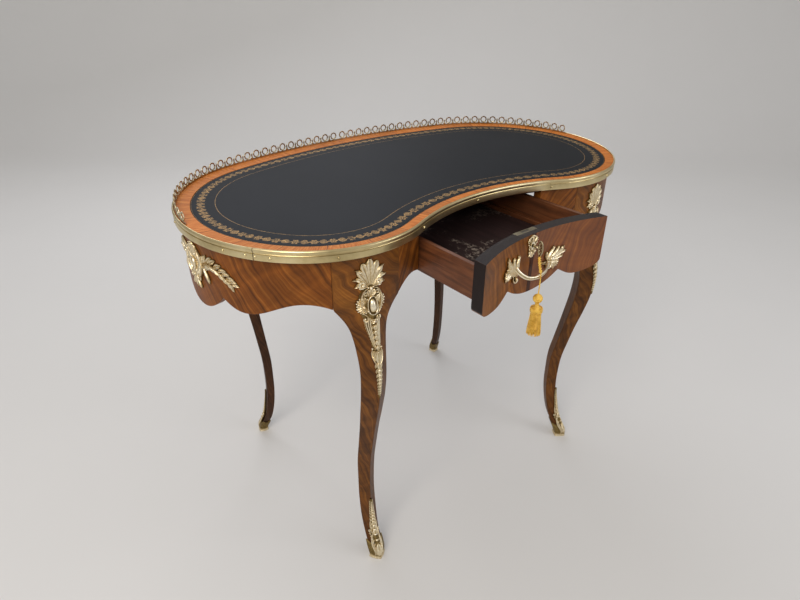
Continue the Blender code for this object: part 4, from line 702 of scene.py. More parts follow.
def bare_wood(name, codes, grain, scuffs=0.0, roughness=0.62):
    """Plain boards under a stain, unpolished: straight grain along Y and, where used, pale scuffs and flecks.
    """
    material, tree, shader = blank(name)
    place = put(tree, "TexCoord").outputs["Object"]
    drawn = put(tree, "Mapping", {"Vector": place, "Scale": (1 / grain, 0.06 / grain, 1 / grain)})
    lines = put(tree, "TexNoise", {
        "Vector": drawn, "Scale": 0.5, "Detail": 5.0, "Roughness": 0.6, "Distortion": 0.4,
    })
    wood = put(tree, "ValToRGB", {"Fac": lines}, list(zip((0.30, 0.55, 0.80), codes)))
    stain = put(tree, "TexNoise", {"Vector": place, "Scale": 14.0, "Detail": 5.0})
    patches = put(tree, "ValToRGB", {"Fac": stain},
                  [(0.35, (0.62, 0.60, 0.60, 1.0)), (0.65, (1.12, 1.10, 1.08, 1.0))])
    colour = put(tree, "Mix", {0: 0.8, 6: wood, 7: patches}, data_type="RGBA", blend_type="MULTIPLY")
    if scuffs:
        flecks = put(tree, "TexNoise", {
            "Vector": place, "Scale": 85.0, "Detail": 6.0, "Roughness": 0.72, "Distortion": 1.4,
        })
        mask = put(tree, "TexNoise", {"Vector": place, "Scale": 9.0, "Detail": 3.0})
        both = put(tree, "Math", {0: flecks, 1: mask}, operation="MULTIPLY")
        marks = put(tree, "ValToRGB", {"Fac": both},
                    [(0.325, (0.0, 0.0, 0.0, 1.0)), (0.375, (scuffs, scuffs, scuffs, 1.0))])
        colour = put(tree, "Mix", {0: marks, 6: colour, 7: linear("94877A")}, data_type="RGBA")
    feed(tree, shader, {
        "Base Color": colour, "Roughness": roughness,
        "Normal": put(tree, "Bump", {"Height": lines, "Strength": 0.25, "Distance": 0.2 * MM}),
    })
    return material


def crossbanding(name, length=82 * MM, grain=1.6 * MM):
    """Cross-cut veneer: the grain runs across the band, in lengths about 80 mm long, bright with polish."""
    material, tree, shader = blank(name)
    place = put(tree, "TexCoord").outputs["UV"]
    run = put(tree, "SeparateXYZ", {0: place})
    lengths = put(tree, "Math", {0: run, 1: length}, operation="DIVIDE")
    number = put(tree, "Math", {0: lengths}, operation="FLOOR")
    each = put(tree, "TexWhiteNoise", {"W": number}, noise_dimensions="1D").outputs
    moved = put(tree, "VectorMath", {0: place, 1: each["Color"]}, operation="ADD")
    drawn = put(tree, "Mapping", {"Vector": moved, "Scale": (1 / grain, 0.09 / grain, 1.0)})
    lines = put(tree, "TexNoise", {
        "Vector": drawn, "Scale": 0.6, "Detail": 4.0, "Roughness": 0.6, "Distortion": 0.5,
    })
    wood = put(tree, "ValToRGB", {"Fac": lines},
               [(0.24, "96521E"), (0.48, colours().banding), (0.75, "DD9248")])
    tone = put(tree, "MapRange", {"Value": each["Value"], "To Min": 0.86, "To Max": 1.10})
    grey = put(tree, "CombineColor", {0: tone, 1: tone, 2: tone})
    toned = put(tree, "Mix", {0: 1.0, 6: wood, 7: grey}, data_type="RGBA", blend_type="MULTIPLY")
    part_of = put(tree, "Math", {0: lengths}, operation="FRACT")
    joint = put(tree, "Math", {0: part_of, 1: 0.012}, operation="LESS_THAN")
    feed(tree, shader, {
        "Base Color": put(tree, "Mix", {0: joint, 6: toned, 7: linear("4A2410")}, data_type="RGBA"),
        "Roughness": 0.5, "Specular IOR Level": 0.12,
        "Normal": put(tree, "Bump", {"Height": lines, "Strength": 0.12, "Distance": 0.1 * MM}),
    })
    return material


def tooled_leather(name):
    """Blue-black hide with worn gold tooling: a band of flowers and scrolls, a fillet and an edge line.

    UV runs along the edge in U and in from the leather's edge in V, in metres.
    """
    material, tree, shader = blank(name)
    place = put(tree, "TexCoord").outputs
    run, inset = put(tree, "SeparateXYZ", {0: place["UV"]}).outputs[:2]
    given = sizes()
    period = given.tooling_period
    wear = put(tree, "TexNoise", {"Vector": place["Object"], "Scale": 160.0, "Detail": 3.0, "Roughness": 0.7})
    kept = put(tree, "MapRange", {
        "Value": wear, "From Min": 0.36, "From Max": 0.60, "To Min": 0.30, "To Max": 1.0,
    })
    values = {"run": run, "inset": inset, "kept": kept}
    for result, operation, *terms in (
        ("cell", "DIVIDE", "run", period),
        ("part", "FRACT", "cell"),
        ("x", "SUBTRACT", "part", 0.5),
        ("in_from_middle", "SUBTRACT", "inset", given.tooling_inset),
        ("y", "DIVIDE", "in_from_middle", period),
        ("half_cell", "MULTIPLY", "cell", 0.5),
        ("half_part", "FRACT", "half_cell"),
        ("odd", "GREATER_THAN", "half_part", 0.5),
        ("even", "SUBTRACT", 1.0, "odd"),
        # a flower: six petals round a heart, with a point beyond each
        ("x_squared", "MULTIPLY", "x", "x"),
        ("reach_squared", "MULTIPLY_ADD", "y", "y", "x_squared"),
        ("reach", "SQRT", "reach_squared"),
        ("angle", "ARCTAN2", "y", "x"),
        ("six_turns", "MULTIPLY", "angle", 6.0),
        ("lobes", "COSINE", "six_turns"),
        ("petals", "MULTIPLY_ADD", "lobes", 0.10, 0.24),
        ("flower", "COMPARE", "reach", "petals", 0.060),
        ("heart", "LESS_THAN", "reach", 0.075),
        ("tip_reach", "ADD", "petals", 0.14),
        ("tips", "COMPARE", "reach", "tip_reach", 0.030),
        ("core", "MAXIMUM", "flower", "heart"),
        ("bloom", "MAXIMUM", "core", "tips"),
        # a scroll: a waving stem between curls
        ("turned", "MULTIPLY", "x", math.tau),
        ("swing", "SINE", "turned"),
        ("wave", "MULTIPLY", "swing", 0.20),
        ("stem", "COMPARE", "y", "wave", 0.050),
        ("wound", "MULTIPLY_ADD", "angle", 0.045, "reach"),
        ("folded", "PINGPONG", "wound", 0.10),
        ("curls", "COMPARE", "folded", 0.05, 0.028),
        ("near", "LESS_THAN", "reach", 0.40),
        ("curl", "MULTIPLY", "curls", "near"),
        ("scroll", "MAXIMUM", "stem", "curl"),
        ("blooms", "MULTIPLY", "bloom", "odd"),
        ("figure", "MULTIPLY_ADD", "scroll", "even", "blooms"),
        ("off_middle", "ABSOLUTE", "y"),
        ("in_band", "LESS_THAN", "off_middle", given.tooling_width / (2 * period)),
        ("motif", "MULTIPLY", "figure", "in_band"),
        # the plain lines
        ("fillet", "COMPARE", "inset", given.fillet_inset, 0.42 * MM),
        ("dot_cell", "DIVIDE", "run", 2.2 * MM),
        ("dot_part", "FRACT", "dot_cell"),
        ("dots", "LESS_THAN", "dot_part", 0.5),
        ("rim", "COMPARE", "inset", 1.6 * MM, 0.4 * MM),
        ("edge_line", "MULTIPLY", "rim", "dots"),
        ("lines", "MAXIMUM", "fillet", "edge_line"),
        ("leaf", "MAXIMUM", "motif", "lines"),
        ("gold", "MULTIPLY", "leaf", "kept"),
        ("shine", "MULTIPLY", "gold", 0.45),
        ("pressed", "MULTIPLY", "gold", 0.6),
    ):
        inputs = {index: values.get(term, term) for index, term in enumerate(terms)}
        values[result] = put(tree, "Math", inputs, operation=operation)
    rubbed = put(tree, "TexNoise", {"Vector": place["Object"], "Scale": 7.0, "Detail": 4.0})
    hide = put(tree, "ValToRGB", {"Fac": rubbed},
               [(0.35, [0.85 * v for v in colours().leather]), (0.65, colours().leather)])
    pebble = put(tree, "TexVoronoi", {"Vector": place["Object"], "Scale": 1 / (1.1 * MM)})
    low = put(tree, "Math", {0: pebble, 1: values["pressed"]}, operation="SUBTRACT")
    feed(tree, shader, {
        "Base Color": put(tree, "Mix", {0: values["gold"], 6: hide, 7: colours().gilding}, data_type="RGBA"),
        "Roughness": 0.5, "Specular IOR Level": 0.07, "Metallic": values["shine"],
        "Normal": put(tree, "Bump", {"Height": low, "Strength": 0.10, "Distance": 0.12 * MM}),
    })
    return material


def brass(name, codes, roughness, tarnish=0.08):
    """Drawn and polished brass strip: long soft streaks, with duller patches where hands don't reach."""
    material, tree, shader = blank(name)
    place = put(tree, "TexCoord").outputs["Object"]
    broad = put(tree, "TexNoise", {"Vector": place, "Scale": 9.0, "Detail": 5.0, "Roughness": 0.6})
    fine = put(tree, "TexNoise", {"Vector": place, "Scale": 320.0, "Detail": 4.0, "Roughness": 0.7})
    feed(tree, shader, {
        "Base Color": put(tree, "ValToRGB", {"Fac": broad}, list(zip((0.30, 0.50, 0.72), codes))),
        "Metallic": 1.0,
        "Roughness": put(tree, "MapRange", {
            "Value": fine, "From Min": 0.3, "From Max": 0.7,
            "To Min": roughness, "To Max": roughness + tarnish,
        }),
        "Normal": put(tree, "Bump", {"Height": fine, "Strength": 0.03, "Distance": 0.1 * MM}),
    })
    return material


def gilt_casting(name):
    """Chased and gilt brass castings: painted highlight on the high points, painted shade in brown in the
    hollows, a fine cast skin.

    The attribute crown holds how near each point is to the top of its own leaf or bead; the colours paint
    highlight and shade by it.
    """
    material, tree, shader = blank(name)
    crown = put(tree, "Attribute", attribute_name="crown").outputs["Fac"]
    place = put(tree, "TexCoord").outputs["Object"]
    patchy = put(tree, "TexNoise", {"Vector": place, "Scale": 240.0, "Detail": 3.0})
    shifted = put(tree, "Math", {0: patchy, 1: 0.5, 2: crown}, operation="MULTIPLY_ADD")
    centred = put(tree, "Math", {0: shifted, 1: 0.25}, operation="SUBTRACT")
    skin = put(tree, "TexNoise", {"Vector": place, "Scale": 900.0, "Detail": 2.0})
    # the ramp on the crown paints shade in the hollows and highlight on the high points
    feed(tree, shader, {
        "Base Color": put(tree, "ValToRGB", {"Fac": centred},
                          [(0.02, "3C301E"), (0.28, "8E784A"), (0.60, "CDB78A"), (0.95, "FBF0D4")]),
        "Metallic": 1.0,
        "Roughness": put(tree, "MapRange", {"Value": centred, "To Min": 0.55, "To Max": 0.30}),
        "Normal": put(tree, "Bump", {"Height": skin, "Strength": 0.2, "Distance": 0.15 * MM}),
    })
    return material


def silk(name):
    """Twisted gold silk: a soft sheen, with each strand's twist painted into the colour as slanting highlight
    and shade.
    """
    material, tree, shader = blank(name)
    place = put(tree, "TexCoord").outputs["Object"]
    twist = put(tree, "TexWave", {
        "Vector": place, "Scale": 210.0, "Distortion": 2.0, "Detail": 2.0, "Detail Scale": 1.5,
    }, bands_direction="DIAGONAL").outputs["Fac"]
    broad = put(tree, "TexNoise", {"Vector": place, "Scale": 120.0, "Detail": 3.0})
    both = put(tree, "Math", {0: twist, 1: 0.45, 2: broad}, operation="MULTIPLY_ADD")
    # the twist's bands paint highlight and shade into the colour
    feed(tree, shader, {
        "Base Color": put(tree, "ValToRGB", {"Fac": both},
                          [(0.35, "A07018"), (0.60, "DCA636"), (0.95, "F4CE66")]),
        "Roughness": 0.52, "Specular IOR Level": 0.25, "Sheen Weight": 0.15, "Sheen Roughness": 0.4,
        "Normal": put(tree, "Bump", {"Height": twist, "Strength": 0.3, "Distance": 0.2 * MM}),
    })
    return material


FINISHES = {
    "apron_veneer": partial(veneer, "french_polished_kingwood", ("57300F", "7B4414", "925820"),
                            5.0 * MM, 120 * MM, 33, 62 * MM),
    "leg_veneer": partial(veneer, "french_polished_walnut_leg", ("4A2B10", "603812", "744819"),
                          3.6 * MM, 60 * MM, 22, 40 * MM, paler_up=(0.52, 0.63, 1.55)),
    # the back legs' darker copy of the leg veneer: its darkness is partly painted shade
    "back_leg_veneer": partial(veneer, "dark_walnut_back_leg", ("2A170A", "402511", "53331B"),
                               3.6 * MM, 60 * MM, 22, 40 * MM),
    # front_veneer's edges colour: a dark top edge, and painted shade on the ends
    "front_veneer": partial(veneer, "book_matched_walnut", ("5C3411", "7E4714", "985E22"),
                            5.0 * MM, 110 * MM, -22, 60 * MM, tint="7A5246", edges="221B1B"),
    # near-black boards for the top rail: painted shade inside the opening
    "inner_wood": partial(bare_wood, "dark_stained_beech", ("120B06", "1E130B", "2A1B10"),
                          5 * MM, roughness=0.7),
    "carcass": partial(bare_wood, "stained_deal", ("2A160D", "4A2B1A", "5C3824"), 5 * MM),
    "drawer_lining": partial(bare_wood, "red_stained_mahogany", ("42240F", "66391D", "7E4E2C"), 3.5 * MM,
                             roughness=0.5),
    "drawer_floor": partial(bare_wood, "purple_stained_drawer_floor", ("211514", "342322", "463230"), 5 * MM,
                            scuffs=0.85, roughness=0.55),
    "banding": partial(crossbanding, "cross_banded_kingwood"),
    "leather": partial(tooled_leather, "gilt_tooled_hide"),
    "pin_brass": partial(brass, "brass_pin", ("9A865A", "D8C693", "F4E8C4"), 0.16),
    "edge_brass": partial(brass, "polished_brass_strip", ("AC9A6C", "D4C292", "ECDDB2"), 0.28),
    "gallery_brass": partial(brass, "pierced_brass_gallery", ("7A6D50", "B2A382", "DDD1B4"), 0.26),
    "old_steel": partial(brass, "aged_steel", ("4A443C", "6A645A", "857E72"), 0.38),
    "lock_brass": partial(brass, "dull_lock_brass", ("6B6350", "8C836C", "A39A82"), 0.42),
    "gilt": partial(gilt_casting, "gilt_brass_casting"),
    "silk": partial(silk, "twisted_gold_silk"),
}


@cache
def finish(name):
    """The desk's material of that name, made once."""
    return FINISHES[name]()


# Legs


class Leg:
    """A cabriole leg: a square shaft set cornerwise, flaring into a wing that lies in the wall."""

    def __init__(self, plan, name, side, shape):
        arc, heading, turn, stand, self.square, self.sweep, self.ridge = shape
        self.plan, self.name, self.side = plan, name, side
        run = plan.at_heading(arc, heading)
        self.run = run if side == RIGHT else 2 * plan.half - run
        place, normal = plan.frame(self.run)
        self.foot = place + (stand - WALL_INSET) * normal
        angle = heading_of(normal) + side * math.radians(turn if arc == 1 else -turn)
        self.out = Vector((math.sin(angle), math.cos(angle)))
        self.across = Vector((self.out.y, -self.out.x))
        self.grid, self.normals = [], []

    def shaft(self, level):
        """The square section with rounded corners, from the arris round by the next corner."""
        out, side = curved(LEG_SHARES, min(level / LEG_SHAFT_HEIGHT, LEG_SHARES[-1][0]))
        centre = self.foot + out * self.sweep * self.out
        side *= self.square
        half = side / math.sqrt(2)
        blunt = 1 - FACE_SHARES[1] * side * (math.sqrt(2) - 1) / half
        corners = [self.out, self.across, -self.out, -self.across]
        points = []
        for near, far in zip(corners, corners[1:] + corners[:1]):
            for share in FACE_SHARES:
                points.append(centre + half * (near * blunt if share == 0.0 else near.lerp(far, share)))
        return points

    def wing(self, ridge):
        """The section in the wall, with the same order of points."""
        half = []
        for share in FACE_SHARES:
            half.append((WING_REACH * share, WALL_INSET - ridge * max(0.0, 1 - 3 * share)))
        ends = ((WING_REACH, WALL_INSET), (WING_REACH, WALL_BACK),
                (BLOCK_REACH, WALL_BACK), (0.0, BLOCK_DEPTH))
        for share in FACE_SHARES:
            step = min(2, int(3 * share + 0.001))
            part = 3 * share - step
            (a, b), (c, d) = ends[step], ends[step + 1]
            half.append((a + (c - a) * part, b + (d - b) * part))
        half.append(ends[3])
        whole = half + [(-reach, inset) for reach, inset in half[-2:0:-1]]
        return [self.plan.edge(self.run + reach, inset) for reach, inset in whole]

    def ring(self, level):
        """The section at a height: the shaft's, drawn over into the wing's."""
        into, ridge = curved(FLARE_SHARES, level / LEG_SHAFT_HEIGHT)
        into = min(1.0, max(0.0, into))
        wing = self.wing(max(0.0, ridge) * self.ridge)
        return [a.lerp(b, into) for a, b in zip(self.shaft(level), wing)]

    def front_line(self, level):
        """Points along the two outer faces at even steps, from one side of the arris to the other."""
        ring = self.ring(level)
        line = []
        for way in (-1, 1):
            points = [ring[(way * i) % len(ring)] for i in range(len(FACE_SHARES) + 1)]
            stations, gone = [], 0.0
            want = 0.0 if way == 1 else GRID_STEP
            for a, b in zip(points, points[1:]):
                length = (b - a).length
                while want <= gone + length and len(stations) < GRID_SPAN + (way == 1):
                    stations.append(a.lerp(b, (want - gone) / length))
                    want += GRID_STEP
                gone += length
            last = points[-1] - points[-2]
            while len(stations) < GRID_SPAN + (way == 1):
                stations.append(points[-1] + last.normalized() * (want - gone))
                want += GRID_STEP
            line = stations[::-1] if way == -1 else line + stations
        return line

    def map_faces(self):
        """Places and normals over the outer faces, for the castings that lie on them."""
        rows = int(WALL_TOP_Z / GRID_STEP) + 1
        for i in range(rows):
            level = max(SOLE, i * GRID_STEP)
            self.grid.append([Vector((*point, level)) for point in self.front_line(level)])
        wide = len(self.grid[0])
        outward = Vector((*self.out, 0.0))
        for i in range(rows):
            row = []
            for j in range(wide):
                up = self.grid[min(i + 1, rows - 1)][j] - self.grid[max(i - 1, 0)][j]
                over = self.grid[i][min(j + 1, wide - 1)] - self.grid[i][max(j - 1, 0)]
                normal = over.cross(up).normalized()
                row.append(normal if normal.dot(outward) > 0 else -normal)
            self.normals.append(row)

    def surface(self, reach, level, stand):
        """A point that stands off the outer faces, at a distance from the arris and a height."""
        if not self.grid:
            self.map_faces()
        a = min(len(self.grid) - 1.001, max(0.0, level / GRID_STEP))
        b = min(len(self.grid[0]) - 1.001, max(0.0, reach / GRID_STEP + GRID_SPAN))
        i, j = int(a), int(b)
        values = []
        for table in (self.grid, self.normals):
            low = table[i][j].lerp(table[i][j + 1], b - j)
            high = table[i + 1][j].lerp(table[i + 1][j + 1], b - j)
            values.append(low.lerp(high, a - i))
        return values[0] + stand * values[1].normalized()

    def make(self):
        """The veneered leg, seated on its node."""
        levels = spread(SOLE, WALL_TOP_Z, LEVEL_STEP)
        sections = [self.ring(level) for level in levels]
        rings = [[(*point, level) for point in ring] for ring, level in zip(sections, levels)]
        count = len(rings[0])

        def flat(i, j):
            return (0.16 * j / count, levels[i])

        made = object_of(f"leg_{self.name}_veneered", loft(rings, flat=flat), smooth=60)
        # the back legs take the darker copy, whose darkness is partly painted shade
        kind = "back_leg_veneer" if self.name.startswith("back") else "leg_veneer"
        seat(made, finish(kind), "desk", "veneer", f"leg_{self.name}")


# Castings


def bend(start, middle, stop, steps=9):
    """A curved path between two places, drawn towards a middle one."""
    path = []
    for i in range(steps + 1):
        t = i / steps
        path.append(tuple((1 - t) ** 2 * a + 2 * t * (1 - t) * b + t * t * c
                          for a, b, c in zip(start, middle, stop)))
    return path


def through(places, steps=5):
    """A smooth path through places."""
    rows = [(float(i), *place) for i, place in enumerate(places)]
    return [tuple(curved(rows, i / steps)) for i in range(steps * (len(places) - 1) + 1)]


def spiral(u, w, wide, narrow, start, stop, steps=16):
    """A winding path about a middle; its angles are in degrees, anticlockwise from the right."""
    path = []
    for i in range(steps + 1):
        share = i / steps
        angle = math.radians(start + (stop - start) * share)
        reach = wide + (narrow - wide) * share
        path.append((u + reach * math.cos(angle), w + reach * math.sin(angle)))
    return path


def spread_rows(rows, step):
    """A table's height and width at even steps from its first row to its last."""
    return [(height, *curved(rows, height)) for height in spread(rows[0][0], rows[-1][0], step)]


def mirrored(path, way):
    """A path turned over to the other side where way is -1."""
    return [(u * way, w) for u, w in path]


class Casting:
    """A relief of closed strokes and beads, laid on the surface that a place function gives."""

    def __init__(self, place, unit=MM):
        self.place, self.unit, self.edge = place, unit, CAST_EDGE / unit
        self.skin = bmesh.new()
        self.crown = self.skin.verts.layers.float.new("crown")

    def shell(self, rings, loop=False):
        """A closed shell through rings of reach, height, stand and crown."""
        placed = [[(*self.place(*(size * self.unit for size in point[:3])), point[3]) for point in ring]
                  for ring in rings]
        loft(placed, loop, skin=self.skin, crown=self.crown)

    def stroke(self, path, width, height, taper=((0.0, 1.0, 1.0), (1.0, 1.0, 1.0)), groove=0.0, loop=False):
        """A raised line along a path, domed or with a groove along its middle."""
        count = len(path)
        rings = []
        for i, (u, w) in enumerate(path):
            wide, tall = curved(taper, i / (count - 1))
            if loop:
                ahead, behind = path[(i + 1) % count], path[i - 1]
            else:
                ahead, behind = path[min(i + 1, count - 1)], path[max(i - 1, 0)]
            du, dw = ahead[0] - behind[0], ahead[1] - behind[1]
            length = math.hypot(du, dw)
            half = width * max(0.05, wide) / 2
            top = height * max(0.12, tall)
            ring = []
            for s in SECTION_SHARES:
                rise = math.sqrt(1 - s * s) * (1 - groove * math.exp(-(s / 0.30) ** 2))
                stand = self.edge + (top - self.edge) * rise
                # the fourth value is the crown, which the gilt paints as highlight on top and shade at the
                # foot
                ring.append((u - s * half * dw / length, w + s * half * du / length, stand,
                             0.12 + 0.88 * rise * min(1.0, tall + 0.15)))
            for s in (0.97, -0.97):
                ring.append((u - s * half * dw / length, w + s * half * du / length, 0.0, 0.0))
            rings.append(ring)
        self.shell(rings, loop)

    def leaf(self, path, width, height, groove=0.55):
        """A pointed leaf with a vein."""
        self.stroke(path, width, height, LEAF_TAPER, groove)

    def scroll(self, path, width, height):
        """A volute that swells from its tip and ends in a bead."""
        self.stroke(path, width, height, SCROLL_TAPER, 0.25)
        self.bead(*path[-1], 0.62 * width, 0.62 * width, 1.15 * height)

    def bead(self, u, w, half_width, half_height, stand, sides=12, crown=1.0):
        """A domed bead, round or oval."""
        self.shell([
            [(*spot, stand * rise, crown * rise)
             for spot in oval(u, w, share * half_width, share * half_height, sides)]
            for share, rise in BEAD_SHARES
        ])

    def fan(self, u, w, heading, step, reaches, near, height, curl=0.0, ways=(-1, 1), bead=0.0):
        """Touching flutes that spread from a middle; reaches run from the middle flute outward."""
        for k, reach in enumerate(reaches):
            most = curl * k / (len(reaches) - 1)
            for way in ways if k else (1,):
                angles = [math.radians(heading + way * (k * step + bow)) for bow in (0.0, 0.35 * most, most)]
                path = bend(*((u + r * math.cos(a), w + r * math.sin(a))
                              for r, a in zip((near, 0.62 * reach, reach), angles)))
                self.stroke(path, 1.15 * reach * math.radians(step), height, FAN_TAPER, 0.5)
                if bead:
                    self.bead(*path[-1], bead, bead, 0.92 * height, sides=9)

    def acanthus(self, spine, width, height, lobes, sides=(-1, 1), lean=52.0, first=1.0, last=0.5,
                 lobe=0.52, rib=0.20):
        """A leaf whose lobes leave the spine and bend towards its tip, with a rib over them.

        width and the lobes' first and last shares of it give its outline; lobe and rib are their breadths.
        """
        count = len(spine) - 1
        for side in sides:
            for k in range(lobes):
                share = (k + 0.3) / lobes
                i = min(count - 1, int(share * count))
                (u, w), (next_u, next_w) = spine[i], spine[i + 1]
                angle = math.atan2(next_w - w, next_u - u)
                start = angle + side * math.radians(lean)
                end = angle + side * math.radians(0.35 * lean)
                reach = width / 2 * (first + (last - first) * share)
                knee = (u + 0.62 * reach * math.cos(start), w + 0.62 * reach * math.sin(start))
                tip = (knee[0] + 0.62 * reach * math.cos(end), knee[1] + 0.62 * reach * math.sin(end))
                self.leaf(bend((u, w), knee, tip, 7), lobe * reach, 0.85 * height)
        self.stroke(spine, rib * width, height, RIB_TAPER, 0.2)

    def plate(self, rows, low):
        """A thin plate under the relief, from a table of heights and half widths."""
        rings = []
        for z, half in spread_rows(rows, PLATE_STEP):
            ring = [(s * half, z, PLATE_HEIGHT * math.sqrt(1 - (0.9 * s) ** 2), 0.22)
                    for s in (-1, -0.5, 0, 0.5, 1)]
            rings.append(ring + [(s * half, z, low, 0.0) for s in (1, 0, -1)])
        self.shell(rings)

    def husk(self, w, length, width, height):
        """A bell-shaped husk: a leaf between two that open outward, over a bead."""
        for way in (-1, 1):
            path = mirrored(bend((0.0, w), (0.42 * width, w - 0.35 * length),
                                (0.5 * width, w - 0.9 * length)), way)
            self.leaf(path, 0.42 * width, 0.8 * height)
        self.leaf(bend((0.0, w), (0.0, w - 0.5 * length), (0.0, w - length)), 0.5 * width, height)
        self.bead(0.0, w - 1.06 * length, 0.20 * width, 0.20 * width, 0.8 * height, sides=9)

    def build(self, name, nodes, body):
        """The finished piece, standing for its nodes."""
        return seat(object_of(name, self.skin, smooth=50), finish("gilt"), body, "gilt_brass", *nodes)


# Properties


def length_field(name, default, description):
    """A length that a user may set."""
    return FloatProperty(name=name, description=description, default=default, unit="LENGTH", precision=4)


def colour_field(name, code, description):
    """A colour that a user may set."""
    return FloatVectorProperty(name=name, description=description, subtype="COLOR", size=4,
                               default=linear(code))


class DeskSizes(bpy.types.PropertyGroup):
    """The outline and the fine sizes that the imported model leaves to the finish."""

    half_length: length_field("Half length", 0.5322, "From the middle of the desk to the end of the wood")
    end_radius: length_field("End radius", 0.284, "Radius of the round ends")
    lobe_radius: length_field("Lobe radius", 0.221, "Radius of the front lobes beside the waist")
    waist_depth: length_field("Waist depth", 0.0684, "How far the waist lies behind the lobes")
    back_heading: FloatProperty(
        name="Back heading", description="Clockwise from the back, where its arc meets the end's",
        default=math.radians(15.011), unit="ROTATION")
    lobe_heading: FloatProperty(
        name="Lobe heading", description="Clockwise from the back, where the end's arc meets the lobe's",
        default=math.radians(133.542), unit="ROTATION")
    leather_margin: length_field("Leather margin", 0.026, "Mean width of the cross-banding round the leather")
    leather_forward: length_field("Leather forward", 0.008, "How far the leather is set towards the front")
    tooling_inset: length_field("Tooling inset", 0.0190,
                                "From the leather's edge to the middle of the gilt band")
    tooling_width: length_field("Tooling width", 0.0160, "Width of the gilt band")
    tooling_period: length_field("Tooling period", 0.0200, "Length of one motif of the gilt band")
    fillet_inset: length_field("Fillet inset", 0.0460, "From the leather's edge to the inner gilt line")
    band_stand: length_field("Band stand", 0.0039, "How far the brass band stands out of the wood")
    gallery_rings: IntProperty(
        name="Gallery rings", description="Rings in each half of the gallery", default=27, min=1)
    tassel_strands: IntProperty(
        name="Tassel strands", description="Strands in the tassel's skirt", default=150, min=20)
    lamp_power: FloatProperty(
        name="Lamp power", description="Power of the main lamp", default=56.0, unit="POWER")


class DeskColours(bpy.types.PropertyGroup):
    """The main colours of the finishes, in linear values."""

    banding: colour_field("Cross-banding", "C06E26", "Body colour of the top's cross-banding")
    leather: colour_field("Leather", "191C20", "Colour of the hide")
    gilding: colour_field("Gilt tooling", "B8935E", "Colour of the gold leaf on the leather")
    floor: colour_field("Floor", "D9D7D3", "Colour of the stage")


def sizes():
    """The sizes that are set."""
    return bpy.context.scene.desk_sizes


def colours():
    """The colours that are set."""
    return bpy.context.scene.desk_colours


@cache
def plan_of(*outline):
    """One outline for each set of sizes."""
    return Plan(*outline)


@cache
def legs_on(plan):
    """The four legs of an outline, by name."""
    return {name: Leg(plan, name, side, shape) for name, side, shape in (
        ("front_left", LEFT, FRONT_LEG), ("front_right", RIGHT, FRONT_LEG),
        ("back_right", RIGHT, BACK_LEG), ("back_left", LEFT, BACK_LEG),
    )}


def the_plan():
    """The outline for the sizes that are set."""
    return plan_of(*(getattr(sizes(), name) for name in OUTLINE_SIZES))


def the_legs():
    """The four legs, made once for a plan so that their castings share their surfaces."""
    return legs_on(the_plan())


# Top, band and gallery


class DESK_OT_top(bpy.types.Operator):
    """Make the board, its cross-banding and its tooled leather"""

    bl_idname = "desk.make_top"
    bl_label = "Top"

    def execute(self, context):
        plan, given = the_plan(), sizes()
        runs = spread(0.0, 2 * plan.half, WALL_STEP)[:-1]
        board_low, board_high = (corner.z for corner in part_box("top_board"))
        rings = [[(*plan.edge(run, CLEAR), z) for run in runs] for z in (board_low, board_high)]
        board = object_of("top_board_of_deal", loft(rings))
        seat(soften(board, 0.6 * MM), finish("carcass"), "desk", "secondary_wood", "top_board")

        def line(run, margin):
            place = plan.edge(run, margin)
            return Vector((place.x, place.y - given.leather_forward))

        rings, widths = [], []
        for run in runs:
            rim, hem = plan.edge(run), line(run, given.leather_margin)
            widths.append((rim - hem).length)
            rings.append([(*rim, LEATHER_LOW_Z), (*rim, TOP_Z), (*hem, TOP_Z), (*hem, LEATHER_LOW_Z)])
        count = len(runs)
        step = 2 * plan.half / count

        def flat(i, j):
            return (i * step, widths[i % count] if j in (0, 1) else 0.0)

        banding = object_of("top_cross_banding", loft(rings, loop=True, flat=flat))
        seat(banding, finish("banding"), "desk", "crossbanding", "top_banding")

        margin = given.leather_margin + CLEAR
        insets = [0.0, 0.0, 0.0008] + [0.006 * i for i in range(1, 13)]
        levels = [LEATHER_LOW_Z, LEATHER_Z - 0.4 * MM] + [LEATHER_Z] * 13
        rings = [
            [(*line(run, margin + inset), level) for run in runs] for inset, level in zip(insets, levels)
        ]
        leather = object_of("writing_leather", loft(rings, flat=lambda i, j: (j * step, insets[i])))
        self.mend_seam(leather, 2 * plan.half, step)
        seat(leather, finish("leather"), "desk", "leather", "leather_inset")
        return {"FINISHED"}

    def mend_seam(self, leather, whole, step):
        """Carries the last strip's U on past the start, where the loft's last and first points meet."""
        uv = leather.data.uv_layers["flat"].data
        for polygon in leather.data.polygons:
            if polygon.loop_total > 4:
                continue
            loops = list(polygon.loop_indices)
            across = [uv[i].uv[0] for i in loops]
            if max(across) - min(across) > whole / 2:
                for i in loops:
                    if uv[i].uv[0] < step:
                        uv[i].uv[0] += whole


